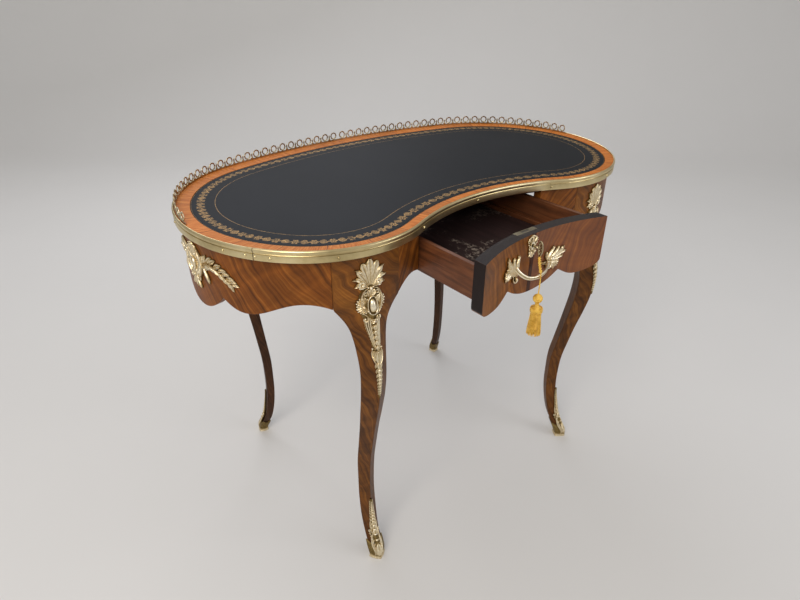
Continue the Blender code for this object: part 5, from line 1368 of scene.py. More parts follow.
class DESK_OT_band(bpy.types.Operator):
    """Make the brass band round the edge, in its four lengths, and its pins"""

    bl_idname = "desk.make_band"
    bl_label = "Brass band"

    def execute(self, context):
        plan, stand = the_plan(), sizes().band_stand
        height = BAND_HIGH_Z - BAND_LOW_Z
        splice_far, splice_near = plan.half - BAND_SPLICE_FAR, plan.half - BAND_SPLICE_NEAR
        end_joint = plan.half + BAND_END_JOINT
        for name, start, stop, gap in (
            ("right", 0.0, splice_far, CLEAR / 2), ("splice", splice_far, splice_near, CLEAR / 2),
            ("front", splice_near, end_joint, BAND_JOINT_GAP), ("left", end_joint, 2 * plan.half, CLEAR / 2),
        ):
            rings = [
                [(*plan.edge(run, -max(CLEAR, out * stand)), BAND_LOW_Z + rise * height)
                 for out, rise in BAND_PROFILE_SHARES]
                for run in spread(start + CLEAR / 2, stop - gap, WALL_STEP)
            ]
            strip = object_of(f"brass_strip_{name}", loft(rings), smooth=40)
            seat(strip, finish("edge_brass"), "desk", "edge_brass", f"brass_edge_{name}")
        places = [on_edge(plan, plan.half + reach, -PIN_STAND_SHARE * stand,
                          BAND_LOW_Z + PIN_RISE_SHARE * height)
                  for reach in PIN_REACHES]
        pin = loft([[(*spot, rise * PIN_RADIUS) for spot in
                     oval(0, 0, reach * PIN_RADIUS, reach * PIN_RADIUS, 14)]
                    for reach, rise in PIN_SHARES])
        pins = lay("brass_strip_pins", places, object_of("pin_unit", pin), finish("pin_brass"),
                   smallest=0.85, largest=1.1, seed=5)
        seat(pins, finish("pin_brass"), "desk", "edge_brass")
        return {"FINISHED"}


class DESK_OT_gallery(bpy.types.Operator):
    """Make the pierced gallery round the back: a foot rail with rings and knots along it"""

    bl_idname = "desk.make_gallery"
    bl_label = "Gallery"

    def ring_unit(self, pitch, height):
        """One pierced ring standing on the rail: a thin flat band with a lobed rim and a lobed bore."""
        room = (height - RAIL_HEIGHT) / 2
        reach = room * GALLERY_RING_SHARE
        wide = min(room, pitch / 2) * GALLERY_RING_SHARE
        rings = []
        for angle in turns(40):
            lobe = 1 + 0.035 * math.cos(8 * angle)
            rings.append([
                (lobe * share * wide * math.cos(angle),
                 RAIL_HEIGHT + reach + lobe * share * reach * math.sin(angle),
                 depth * GALLERY_THICKNESS / 2)
                for share, depth in RING_SHARES
            ])
        return object_of("gallery_ring_unit", loft(rings, loop=True), smooth=50)

    def knot_unit(self, height):
        """The leafy knot between two rings: a waisted bead with a pointed top."""
        rings = [[(x, rise * height, z)
                  for x, z in oval(0, 0, reach * KNOT_REACH, 0.5 * reach * KNOT_REACH, 10)]
                 for rise, reach in KNOT_SHARES]
        return object_of("gallery_knot_unit", loft(rings), smooth=60)

    def execute(self, context):
        plan = the_plan()
        reach = plan.at_heading(1, 90)
        count = sizes().gallery_rings
        pitch = (reach - CLEAR) / count
        height = GALLERY_TOP_Z - GALLERY_LOW_Z
        inset = GALLERY_INSET + GALLERY_THICKNESS / 2
        low, high = GALLERY_LOW_Z, GALLERY_LOW_Z + RAIL_HEIGHT
        shoulder = high - 0.6 * MM
        for name, start in (("left", -reach), ("right", CLEAR)):
            rings = []
            for run in spread(start, start + pitch * count, WALL_STEP):
                near, far = (plan.edge(run, inset + way * 0.7 * GALLERY_THICKNESS) for way in (-1, 1))
                rings.append([(*near, low), (*near, shoulder), (*plan.edge(run, inset), high),
                              (*far, shoulder), (*far, low)])
            rail = object_of(f"gallery_rail_{name}", loft(rings), smooth=40)
            seat(rail, finish("gallery_brass"), "desk", "edge_brass", f"gallery_{name}")
            for kind, shift, number, unit in (("rings", 0.5, count, self.ring_unit(pitch, height)),
                                              ("knots", 1.0, count - 1, self.knot_unit(height))):
                places = [on_edge(plan, start + pitch * (i + shift), inset, GALLERY_LOW_Z)
                          for i in range(number)]
                made = lay(f"gallery_{kind}_{name}", places, unit, finish("gallery_brass"))
                made.data.set_sharp_from_angle(angle=math.radians(50))
                seat(made, finish("gallery_brass"), "desk", "edge_brass")
        return {"FINISHED"}


# Walls


def wall_of(name, rings, runs, node, eased):
    """A veneered wall through its sections, its grain upright on both faces and its edges eased."""
    def flat(i, j):
        z = rings[i][j][2]
        return (runs[i], z if j in (0, 1) else z - WALL_THICKNESS)

    made = object_of(name, loft(rings, flat=flat), smooth=30)
    seat(soften(made, eased, 3), finish("apron_veneer"), "desk", "veneer", node)


class DESK_OT_walls(bpy.types.Operator):
    """Make the veneered aprons and the panels beside the drawer"""

    bl_idname = "desk.make_walls"
    bl_label = "Aprons and panels"

    def panel(self, plan, name, side):
        """A stretch of wall between the drawer's opening and a front leg, with an arched edge."""
        jamb = abs(DRAWER_X + side * (FRONT_HALF + END_GAP))
        leg_end = the_legs()["front_right"].run + WING_REACH + CLEAR
        starts = [plan.at_front(jamb, inset) for inset in (WALL_INSET, WALL_BACK)]
        shares = spread(0.0, 1.0, WALL_STEP / (starts[0] - leg_end))
        rings = []
        for share in shares:
            low = cut_height(PANEL_EDGE, share)
            near, far = (plan.edge(start + (leg_end - start) * share, inset)
                         for start, inset in zip(starts, (WALL_INSET, WALL_BACK)))
            rings.append([(side * near.x, near.y, low), (side * near.x, near.y, WALL_TOP_Z),
                          (side * far.x, far.y, WALL_TOP_Z), (side * far.x, far.y, low)])
        runs = [side * (PANEL_GRAIN_START + share * (starts[0] - leg_end)) for share in shares]
        wall_of(f"front_panel_{name}_veneered", rings, runs, f"front_panel_{name}", 1.0 * MM)

    def execute(self, context):
        plan, legs = the_plan(), the_legs()
        end = plan.at_heading(1, 90)
        clear = WING_REACH + CLEAR
        wing = legs["front_right"].run - clear - end
        reach = legs["back_right"].run - clear
        for name, middle, start, stop, edge in (
            ("right", end, legs["back_right"].run + clear, legs["front_right"].run - clear,
             (*END_EDGE, (wing, WING_DROP, "fall"))),
            ("left", 2 * plan.half - end, legs["front_left"].run + clear, legs["back_left"].run - clear,
             (*END_EDGE, (wing, WING_DROP, "fall"))),
            ("back", 0.0, -reach, reach, (*BACK_EDGE, (reach, WING_DROP, "ease"))),
        ):
            runs = spread(start, stop, WALL_STEP)
            rings = []
            for run in runs:
                near, far = plan.edge(run, WALL_INSET), plan.edge(run, WALL_BACK)
                low = cut_height(edge, abs(run - middle))
                rings.append([(*near, low), (*near, WALL_TOP_Z), (*far, WALL_TOP_Z), (*far, low)])
            wall_of(f"apron_{name}_veneered", rings, runs, f"apron_{name}", 1.1 * MM)
        for name, side in (("left", LEFT), ("right", RIGHT)):
            self.panel(plan, name, side)
        return {"FINISHED"}


class DESK_OT_legs(bpy.types.Operator):
    """Make the four cabriole legs"""

    bl_idname = "desk.make_legs"
    bl_label = "Legs"

    def execute(self, context):
        for leg in the_legs().values():
            leg.make()
        return {"FINISHED"}


# Mounts


class DESK_OT_knee_mounts(bpy.types.Operator):
    """Make the long gilt mounts on the legs' knees: palmette, cabochon between scrolls, and husks"""

    bl_idname = "desk.make_knee_mounts"
    bl_label = "Knee mounts"

    def mount(self, leg):
        narrow = leg.square / FRONT_LEG[4]
        outer = -1.0 if leg.side == LEFT else 1.0
        if leg.name.startswith("back"):
            outer = -outer

        def place(u, w, stand):
            return leg.surface(-u * outer * narrow, w, KNEE_GAP + stand)

        cast = Casting(place)
        cast.plate(KNEE_PLATE, 0.0)
        self.palmette(cast)
        self.cabochon(cast)
        self.tail(cast)
        cast.build(f"knee_casting_{leg.name}", [f"knee_mount_{leg.name}"], "desk")

    def palmette(self, cast):
        """Fluted leaves that spread from a beaded neck, with a lobe curling under them at each side."""
        cast.fan(0.0, 675, 90, 14.5, (55, 51, 44, 35, 28, 22), 7, 4.8, 9)
        for way in (-1, 1):
            for turn, reach in ((24, 46), (46, 37), (66, 29)):
                a = math.radians(90 - turn)
                b = math.radians(90 - turn - 13)
                root = (0.55 * reach * math.cos(a), 675 + 0.55 * reach * math.sin(a))
                tip = (1.04 * reach * math.cos(b), 675 + 1.04 * reach * math.sin(b))
                middle = (0.9 * reach * math.cos(a), 675 + 0.9 * reach * math.sin(a))
                cast.leaf(mirrored(bend(root, middle, tip, 6), way), 6.0, 5.4)
            cast.scroll(mirrored(spiral(15.5, 684.5, 8.0, 2.0, -140, 250, 22), way),
                        5.4, 5.6)
            cast.bead(way * 5.0, 676.5, 2.4, 2.2, 5.0)
        cast.bead(0.0, 674.5, 3.6, 4.2, 6.8)

    def cabochon(self, cast):
        """A plain upright oval in its frame, between two beaded rocaille shells."""
        for way in (-1, 1):
            cast.fan(way * 8.5, 644, 90 - 90 * way, 15.5,
                     (19.5, 20.5, 20.5, 19.5, 17.5, 14.5, 11.5), 5, 4.8, bead=1.8)
            inner = through([(3.0, 674.5), (12, 672.5), (18.0, 662), (19.0, 645),
                             (15.0, 629), (7.0, 623)])
            cast.stroke(mirrored(inner, way), 3.4, 6.6, BAND_TAPER, 0.3)
            cast.scroll(mirrored(spiral(11.0, 665.5, 4.8, 1.2, 200, -120, 14), way),
                        3.0, 6.8)
            cast.scroll(mirrored(spiral(13.5, 617.5, 6.4, 1.6, 100, 440, 18), way),
                        4.0, 5.6)
        cast.fan(0.0, 658, 90, 24, (15.5, 15.0, 13.0), 3, 5.0)
        cast.stroke(oval(0.0, 643, 7.8, 16.6, 30), 2.8, 6.2, loop=True)
        cast.bead(0.0, 643, 5.4, 13.6, 8.0, sides=28)
        for turn in (45, 135, 225, 315):
            a = math.radians(turn)
            cast.leaf(bend((0.0, 614.5), (3.0 * math.cos(a), 614.5 + 3.0 * math.sin(a)),
                           (7.0 * math.cos(a), 614.5 + 7.0 * math.sin(a)), 5), 5.8, 5.8)
        cast.bead(0.0, 614.5, 2.3, 2.3, 7.0)

    def tail(self, cast):
        """Feathered leaves beside a panel of husks, a small ribbed shell, and husks to a point."""
        for way, reach in ((1, 1.0), (-1, 0.80)):
            spine = through([(13.5, 620), (13.5 * reach, 605), (9.5 * reach, 589),
                             (6.0, 574), (3.0, 561)], 6)
            cast.acanthus(mirrored(spine, way), 17 * reach, 5.0, 12, sides=(way,), lean=34,
                          first=1.0, last=0.45, lobe=0.46, rib=0.17)
            for share in (0.45, 0.72):
                inner = [(u * share, w) for u, w in spine]
                cast.stroke(mirrored(inner, way), 3.2 * reach, 4.0, RIB_TAPER, 0.2)
        for i in range(5):
            cast.husk(607 - 9.6 * i, 10.8, 9.0 - 0.7 * i, 5.2)
        cast.fan(0.0, 560, -90, 17, (24, 22, 18, 13, 9), 2, 4.8)
        for way in (-1, 1):
            rim = through([(7.5, 562), (10.0, 552), (6.5, 540), (1.0, 532)])
            cast.stroke(mirrored(rim, way), 2.8, 5.4, BAND_TAPER, 0.3)
            cast.bead(way * 7.6, 563, 2.2, 2.2, 5.6)
        w, size = 536, 1.0
        while w > 470:
            cast.husk(w, 14.0 * size, 13.0 * size, 4.4 * size)
            w -= 11.4 * size
            size *= 0.90

    def execute(self, context):
        for leg in the_legs().values():
            self.mount(leg)
        return {"FINISHED"}


class DESK_OT_sabots(bpy.types.Operator):
    """Make the gilt shoes on the feet: a ringed base, leaves round the foot and a tongue up the arris"""

    bl_idname = "desk.make_sabots"
    bl_label = "Sabots"

    def shoe(self, leg):
        """A closed cup round the foot, whose upper edge rises to the tongue."""
        count = len(leg.ring(SOLE))
        tops = []
        for j in range(count):
            away = min(j, count - j) / (count / 4)
            tops.append(SABOT_HEIGHT + (SABOT_TONGUE - SABOT_HEIGHT) * math.exp(-(away / 0.22) ** 2)
                        + 4 * MM * math.cos(2 * math.pi * away))

        def ring(share, stand, low):
            points = []
            for j in range(count):
                level = low + (tops[j] - low) * share
                section = leg.ring(max(level, SOLE))
                middle = sum(section, Vector((0.0, 0.0))) / count
                outward = (section[j] - middle).normalized()
                points.append((*(section[j] + stand * outward), level))
            return points

        outer = [ring(share, SABOT_GAP + stand * MM, 0.0) for share, stand in SABOT_PROFILE]
        inner = [ring(share, SABOT_GAP, SOLE - CLEAR) for share in (1.0, 0.75, 0.5, 0.25, 0.0)]
        return loft(outer + inner)

    def leaves(self, leg):
        narrow = leg.square / FRONT_LEG[4]

        def place(u, w, stand):
            return leg.surface(u * narrow, w, SABOT_GAP + 1.2 * MM + stand)

        cast = Casting(place)
        cast.plate(TONGUE_PLATE, -SABOT_GAP / MM - 0.9)
        for way in (-1, 1):
            toe = through([(2.0, 56), (8.0, 46), (10.5, 30), (6.5, 16), (10.0, 8)])
            cast.stroke(mirrored(toe, way), 5.0, 4.4, BAND_TAPER, 0.35)
            cast.scroll(mirrored(spiral(9.0, 60, 4.6, 1.2, 230, -90, 16), way), 3.0, 3.8)
            spine = through([(3.0, 12), (6.5, 30), (7.0, 46), (12.0, 58)], 6)
            cast.acanthus(mirrored(spine, way), 15, 3.4, 6, lean=55)
            cast.leaf(mirrored(bend((4.0, 60), (7.5, 74), (3.0, 92)), way), 5.0, 3.4)
        for turn in (-40, 0, 40):
            a = math.radians(turn)
            cast.leaf(bend((0.0, 10), (5.0 * math.sin(a), 24),
                           (9.0 * math.sin(a), 10 + 26 * math.cos(a))), 7.0, 4.6)
        cast.bead(0.0, 42, 2.2, 2.8, 4.2, crown=0.8)
        w, size = 54, 1.0
        while w < 138:
            cast.bead(0.0, w, 2.6 * size, 2.4 * size, 4.8 * size, sides=10)
            cast.leaf(bend((0.0, w), (0.0, w + 6 * size), (0.0, w + 12 * size)), 5.6 * size, 4.2 * size)
            for way in (-1, 1):
                cast.leaf(mirrored(bend((0.0, w), (6.0 * size, w + 4 * size),
                                        (6.5 * size, w + 12 * size)), way), 4.6 * size, 3.6 * size)
            w += 11.5 * size
            size *= 0.91
        cast.build(f"sabot_leaves_{leg.name}", [], "desk")

    def execute(self, context):
        for leg in the_legs().values():
            shoe = object_of(f"sabot_shoe_{leg.name}", self.shoe(leg), smooth=50)
            # the shoe's crown for the gilt's painted highlight and shade: brighter on the ring at the base
            values = shoe.data.attributes.new("crown", "FLOAT", "POINT").data
            for value, vert in zip(values, shoe.data.vertices):
                value.value = 0.72 if vert.co.z < 7 * MM else 0.22
            seat(shoe, finish("gilt"), "desk", "gilt_brass", f"sabot_{leg.name}")
            self.leaves(leg)
        return {"FINISHED"}


class DESK_OT_end_mounts(bpy.types.Operator):
    """Make the winged cartouches on the end aprons"""

    bl_idname = "desk.make_end_mounts"
    bl_label = "End mounts"

    def mount(self, name, middle):
        plan = the_plan()

        def place(u, w, stand):
            return Vector((*plan.edge(middle + u, WALL_INSET - CLEAR - stand), w))

        cast = Casting(place)
        cast.fan(0.0, 688, 90, 15.5, (41, 38, 34, 30, 28, 27, 26), 10, 5.6, 6, bead=1.6)
        cast.fan(0.0, 686, -90, 17, (26, 25, 24, 24, 25), 10, 5.0)
        cast.stroke(oval(0.0, 687, 9.0, 12.0, 28), 3.0, 7.0, loop=True)
        cast.bead(0.0, 687, 6.8, 9.6, 8.0, sides=24)
        for way in (-1, 1):
            frame_path = through([(5, 664), (17, 665), (26, 676), (30, 693),
                                  (25, 709), (14, 720)])
            cast.stroke(mirrored(frame_path, way), 5.4, 7.0, BAND_TAPER, 0.35)
            cast.scroll(mirrored(spiral(15, 710.5, 7.0, 1.6, 60, 400, 18), way), 4.2, 7.0)
            cast.scroll(mirrored(spiral(14, 660.5, 6.5, 1.6, 110, -230, 18), way), 4.0, 6.0)
            wing = through([(24, 688), (42, 698), (60, 701), (78, 697),
                            (94, 689), (107, 681), (116, 674)], 6)
            for width, tall, lobes, sides, lean, last, lobe in (
                (42, 5.4, 10, (way,), 52, 0.60, 0.58), (36, 5.0, 8, (-way,), 54, 0.70, 0.56),
                (26, 6.2, 7, (-1, 1), 46, 0.60, 0.50), (14, 7.0, 10, (-1, 1), 34, 0.70, 0.60),
            ):
                cast.acanthus(mirrored(wing, way), width, tall, lobes, sides=sides, lean=lean,
                              last=last, lobe=lobe, rib=1.5 / width)
            drop = through([(34, 690), (40, 680), (47, 669), (49, 660)], 5)
            cast.leaf(mirrored(drop, way), 8.5, 5.4)
            fork = through([(2, 664), (6, 655), (13, 645), (15, 639.5)], 5)
            cast.leaf(mirrored(fork, way), 8.5, 5.2)
        cast.leaf(bend((0.0, 672), (0.0, 655), (0.0, 638.5)), 9.0, 6.0)
        cast.bead(0.0, 665, 3.4, 3.4, 7.4)
        cast.build(f"end_casting_{name}", [f"end_mount_{name}"], "desk")

    def execute(self, context):
        plan = the_plan()
        end = plan.at_heading(1, 90)
        self.mount("right", end)
        self.mount("left", 2 * plan.half - end)
        return {"FINISHED"}


# Drawer and carcass


def ease_pieces(group):
    """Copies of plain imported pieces, with their edges eased."""
    for kind, body, slot, eased, word, nodes in EASED_PIECES[group]:
        for node in nodes:
            seat(soften(copy_of(node, f"{node}_{word}"), eased * MM), finish(kind), body, slot, node)


def cut(made, skins):
    """Takes closed helper shapes out of a piece."""
    helpers = [object_of("cutter", skin) for skin in skins]
    for helper in helpers:
        step = made.modifiers.new("cut", "BOOLEAN")
        step.operation = "DIFFERENCE"
        step.solver = "EXACT"
        step.object = helper
    mesh = evaluated(made)
    made.modifiers.clear()
    made.data = mesh
    for helper in helpers:
        bpy.data.objects.remove(helper, do_unlink=True)
    return made


def block(low, high, skin=None):
    """A rectangular block between two corners."""
    (x0, y0, z0), (x1, y1, z1) = low, high
    outline = [(x0, y0), (x1, y0), (x1, y1), (x0, y1)]
    return loft([[(x, y, z) for x, y in outline] for z in (z0, z1)], skin=skin)


def rod(x, z, y_pair, radius):
    """A round bar lying along Y."""
    return loft([[(a, y, b) for a, b in oval(x, z, radius, radius, 24)] for y in y_pair])


def face_y(x, depth=0.0):
    """Y of a surface that far behind the open drawer's face."""
    return the_plan().front_y(x, FRONT_INSET + depth) - DRAWER_OPEN


class DESK_OT_drawer(bpy.types.Operator):
    """Make the drawer: its bow-shaped veneered front, sides, back, bottom and slips"""

    bl_idname = "desk.make_drawer"
    bl_label = "Drawer"

    def execute(self, context):
        rings = []
        for turn in spread(-0.5 * math.pi, 0.5 * math.pi, math.pi / 110):
            away = FRONT_HALF * math.sin(turn)
            x, low = DRAWER_X + away, cut_height(FRONT_EDGE, abs(away), FRONT_TOP_Z)
            near, far = face_y(x), face_y(x, FRONT_THICKNESS)
            rings.append([(x, near, low), (x, near, FRONT_TOP_Z), (x, far, FRONT_TOP_Z), (x, far, low)])

        def flat(i, j):
            """The two leaves of the veneer are opened like a book about the seam."""
            x, _, z = rings[i][j]
            return (SEAM_X - abs(x - SEAM_X), z if j in (0, 1) else z + FRONT_THICKNESS)

        front = object_of("drawer_front_veneered", loft(rings, flat=flat), smooth=30)
        case_low, case_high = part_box("lock_case")
        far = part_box("lock_cap")[1].y + CUT_PAST
        skins = [
            block(case_low - Vector((CLEAR, CLEAR, CLEAR)),
                  (case_high.x + CLEAR, far, FRONT_TOP_Z + CUT_PAST)),
            rod(KEY_X, KEY_Z, (face_y(KEY_X) - CUT_PAST, case_low.y + CUT_PAST), KEYHOLE * MM),
        ]
        for label in ("left", "right"):
            middle = sum(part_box(f"pull_screw_{label}"), Vector()) / 2
            ends = (face_y(middle.x) - CUT_PAST, face_y(middle.x, FRONT_THICKNESS) + CUT_PAST)
            skins.append(rod(middle.x, middle.z, ends, SCREW_HOLE * MM))
        cut(front, skins)
        seat(soften(front, 0.8 * MM, 2), finish("front_veneer"), "drawer", "veneer", "drawer_front")
        ease_pieces("drawer")
        return {"FINISHED"}


class DESK_OT_carcass(bpy.types.Operator):
    """Make the rail, runners, guides, kickers, stops and battens inside the desk"""

    bl_idname = "desk.make_carcass"
    bl_label = "Rail and runners"

    def execute(self, context):
        ease_pieces("carcass")
        return {"FINISHED"}


class DESK_OT_lock(bpy.types.Operator):
    """Make the lock, let into the drawer front, its bolt and the pull's screws"""

    bl_idname = "desk.make_lock"
    bl_label = "Lock"

    def execute(self, context):
        ease_pieces("lock")
        return {"FINISHED"}


class DESK_OT_key(bpy.types.Operator):
    """Make the key, with its bow, collar, stem and bit"""

    bl_idname = "desk.make_key"
    bl_label = "Key"

    def execute(self, context):
        low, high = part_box("key")
        wire = (high.x - low.x) / 2
        bow_y = low.y + BOW_MIDDLE + wire
        skin = bmesh.new()

        def hoop(z, half_y, half_z, thick, lobes=0.0):
            """A closed ring of wire, its thickness swelling in ten lobes."""
            rings = []
            for turn in turns(60):
                swell = thick * (1 + lobes * math.cos(10 * turn) ** 2)
                rings.append([
                    (KEY_X + BOW_BREADTH_SHARE * swell * math.sin(roll),
                     bow_y + (half_y + swell * math.cos(roll)) * math.cos(turn),
                     z + (half_z + swell * math.cos(roll)) * math.sin(turn)) for roll in turns(10)
                ])
            loft(rings, True, skin=skin)

        tall = (high.z - low.z) / 2 - wire
        hoop(KEY_Z, BOW_REACH, tall, 0.80 * wire, 0.18)
        for lift in (-0.68, -0.26, 0.26, 0.68):
            hoop(KEY_Z + lift * tall, 0.66 * BOW_REACH * math.sqrt(1 - lift ** 2), 0.19 * tall, 1.05 * MM)
        stem = [(bow_y + BOW_REACH + y * MM, radius) for y, radius in KEY_STEM]
        stem += [(high.y - 0.4 * MM, 2.4), (high.y, 2.0)]
        loft([[(x, y, z) for x, z in oval(KEY_X, KEY_Z, radius * MM, radius * MM, 20)] for y, radius in stem],
             skin=skin)
        for z_low, z_high in KEY_BITS:
            block((KEY_X - 1.2 * MM, high.y - 4.6 * MM, KEY_Z - z_low * MM),
                  (KEY_X + 1.2 * MM, high.y - CLEAR, KEY_Z - z_high * MM), skin)
        key = object_of("key_of_brass", skin, smooth=50)
        seat(key, finish("gallery_brass"), "key", "gilt_brass", "key")
        return {"FINISHED"}


class DESK_OT_escutcheon(bpy.types.Operator):
    """Make the beaded plate round the keyhole"""

    bl_idname = "desk.make_escutcheon"
    bl_label = "Escutcheon"

    def execute(self, context):
        def place(u, w, stand):
            return Vector((KEY_X + u, face_y(KEY_X + u) - CLEAR - stand, KEY_Z + w))

        cast = Casting(place)
        rows = [(float(i), share) for i, share in enumerate(ESCUTCHEON_SHARES + ESCUTCHEON_SHARES[:1])]

        def rim(count):
            """The plate's outline: turns and shares of its reach."""
            return [(angle, curved(rows, i * (len(rows) - 1) / count)[0])
                    for i, angle in enumerate(turns(count))]

        rings = []
        for angle, reach in rim(48):
            ring = []
            for share, stand, crown in ESCUTCHEON_SECTION:
                u, w = (KEYHOLE + (reach * size - KEYHOLE) * share for size in ESCUTCHEON_SIZE)
                ring.append((u * math.cos(angle), w * math.sin(angle), stand, crown))
            rings.append(ring)
        cast.shell(rings, True)
        for angle, reach in rim(26):
            cast.bead(reach * 15.4 * math.cos(angle), reach * 18.8 * math.sin(angle), 1.5, 1.5, 3.4, sides=9)
        for way in (-1, 1):
            cast.scroll(mirrored(spiral(8.0, -12.5, 4.4, 1.2, 60, 380, 16), way), 2.6, 4.0)
            cast.leaf(mirrored(bend((4.0, 6.0), (9.5, 9.0), (9.5, 15.5)), way), 4.5, 3.8)
            cast.leaf(mirrored(bend((2.0, -13.0), (5.0, -19.0), (9.0, -21.0)), way), 4.0, 3.4)
        cast.leaf(bend((0.0, -12), (0.0, -18), (0.0, -25)), 6.0, 4.2)
        cast.leaf(bend((0.0, 6), (0.0, 12), (0.0, 20.5)), 6.0, 4.2)
        cast.build("escutcheon_casting", ["escutcheon"], "drawer")
        return {"FINISHED"}


class DESK_OT_pull(bpy.types.Operator):
    """Make the drawer's pull: a leaf spray at each end and a ribbed bail between them"""

    bl_idname = "desk.make_pull"
    bl_label = "Pull"

    def bail(self, span):
        """The bail's rings of points with their crown: grooved front and back, swollen at middle and ends."""
        places = [(KEY_X + along * span, face_y(KEY_X + along * span) - out * BAIL_STAND,
                   PULL_Z - drop * BAIL_DROP)
                  for along, out, drop in BAIL_SHARES]
        path = [Vector(spot) for spot in through(places)]
        last = len(path) - 1
        rings = []
        for i, point in enumerate(path):
            along = (path[min(i + 1, last)] - path[max(i - 1, 0)]).normalized()
            side = along.cross(UP).normalized()
            up = side.cross(along).normalized()
            share = i / last
            swell = (0.86 + 0.30 * math.exp(-((share - 0.5) / 0.035) ** 2)
                     + 0.16 * math.cos(math.pi * share) ** 2)
            ring = []
            for a in turns(BAIL_SIDES):
                groove = 1 - BAIL_GROOVE * math.exp(-(math.sin(a) / 0.26) ** 2)
                spot = (point + BAIL_HALF_DEPTH * swell * groove * math.cos(a) * side
                        + BAIL_HALF_HEIGHT * swell * math.sin(a) * up)
                # the crown falls in the groove, which the gilt paints as shade
                ring.append((*spot, 1 - 0.75 * (1 - groove) / BAIL_GROOVE))
            rings.append(ring)
        return rings

    def execute(self, context):
        def place(u, w, stand):
            return Vector((KEY_X + u, face_y(KEY_X + u) - PULL_LIFT - stand, FRONT_TOP_Z + w))

        cast = Casting(place)
        reach = FRONT_HALF / (3 * MM)
        left, left_w, right, right_w = -reach, -54.5, reach, -67.0
        for u, w, leaves in ((left, left_w, LEFT_SPRAY), (right, right_w, RIGHT_SPRAY)):
            for *places, width in leaves:
                spine = bend(*((u + du, w + dw) for du, dw in places), 10)
                cast.stroke(spine, 0.66 * width, 6.2, BODY_TAPER, 0.5)
                cast.acanthus(spine, width, 5.2, 5, lean=40, last=0.62, lobe=0.5, rib=0.14)
        cast.fan(left - 7, left_w + 2.5, 208, 24, (21, 19, 15, 11), 2, 7.0, 8)
        cast.scroll(spiral(left + 13, left_w - 22, 8.5, 1.8, 130, 430, 20), 4.8, 7.0)
        cast.fan(right + 6, right_w - 2, -48, 26, (19, 17, 13), 2, 6.4, 6)
        cast.bead(right - 9, right_w - 9, 3.4, 8.2, 8.4, sides=16)
        cast.stroke(spiral(right - 8, right_w - 9, 8.6, 7.4, 130, -130, 20), 3.0, 7.0)
        cast.bead(right + 2, right_w + 2, 6.0, 5.4, 8.2, sides=16)
        loft(self.bail(FRONT_HALF / 3 - 8.5 * MM), skin=cast.skin, crown=cast.crown)
        cast.build("pull_casting", ["drawer_pull"], "drawer")
        return {"FINISHED"}


# Cord and tassel


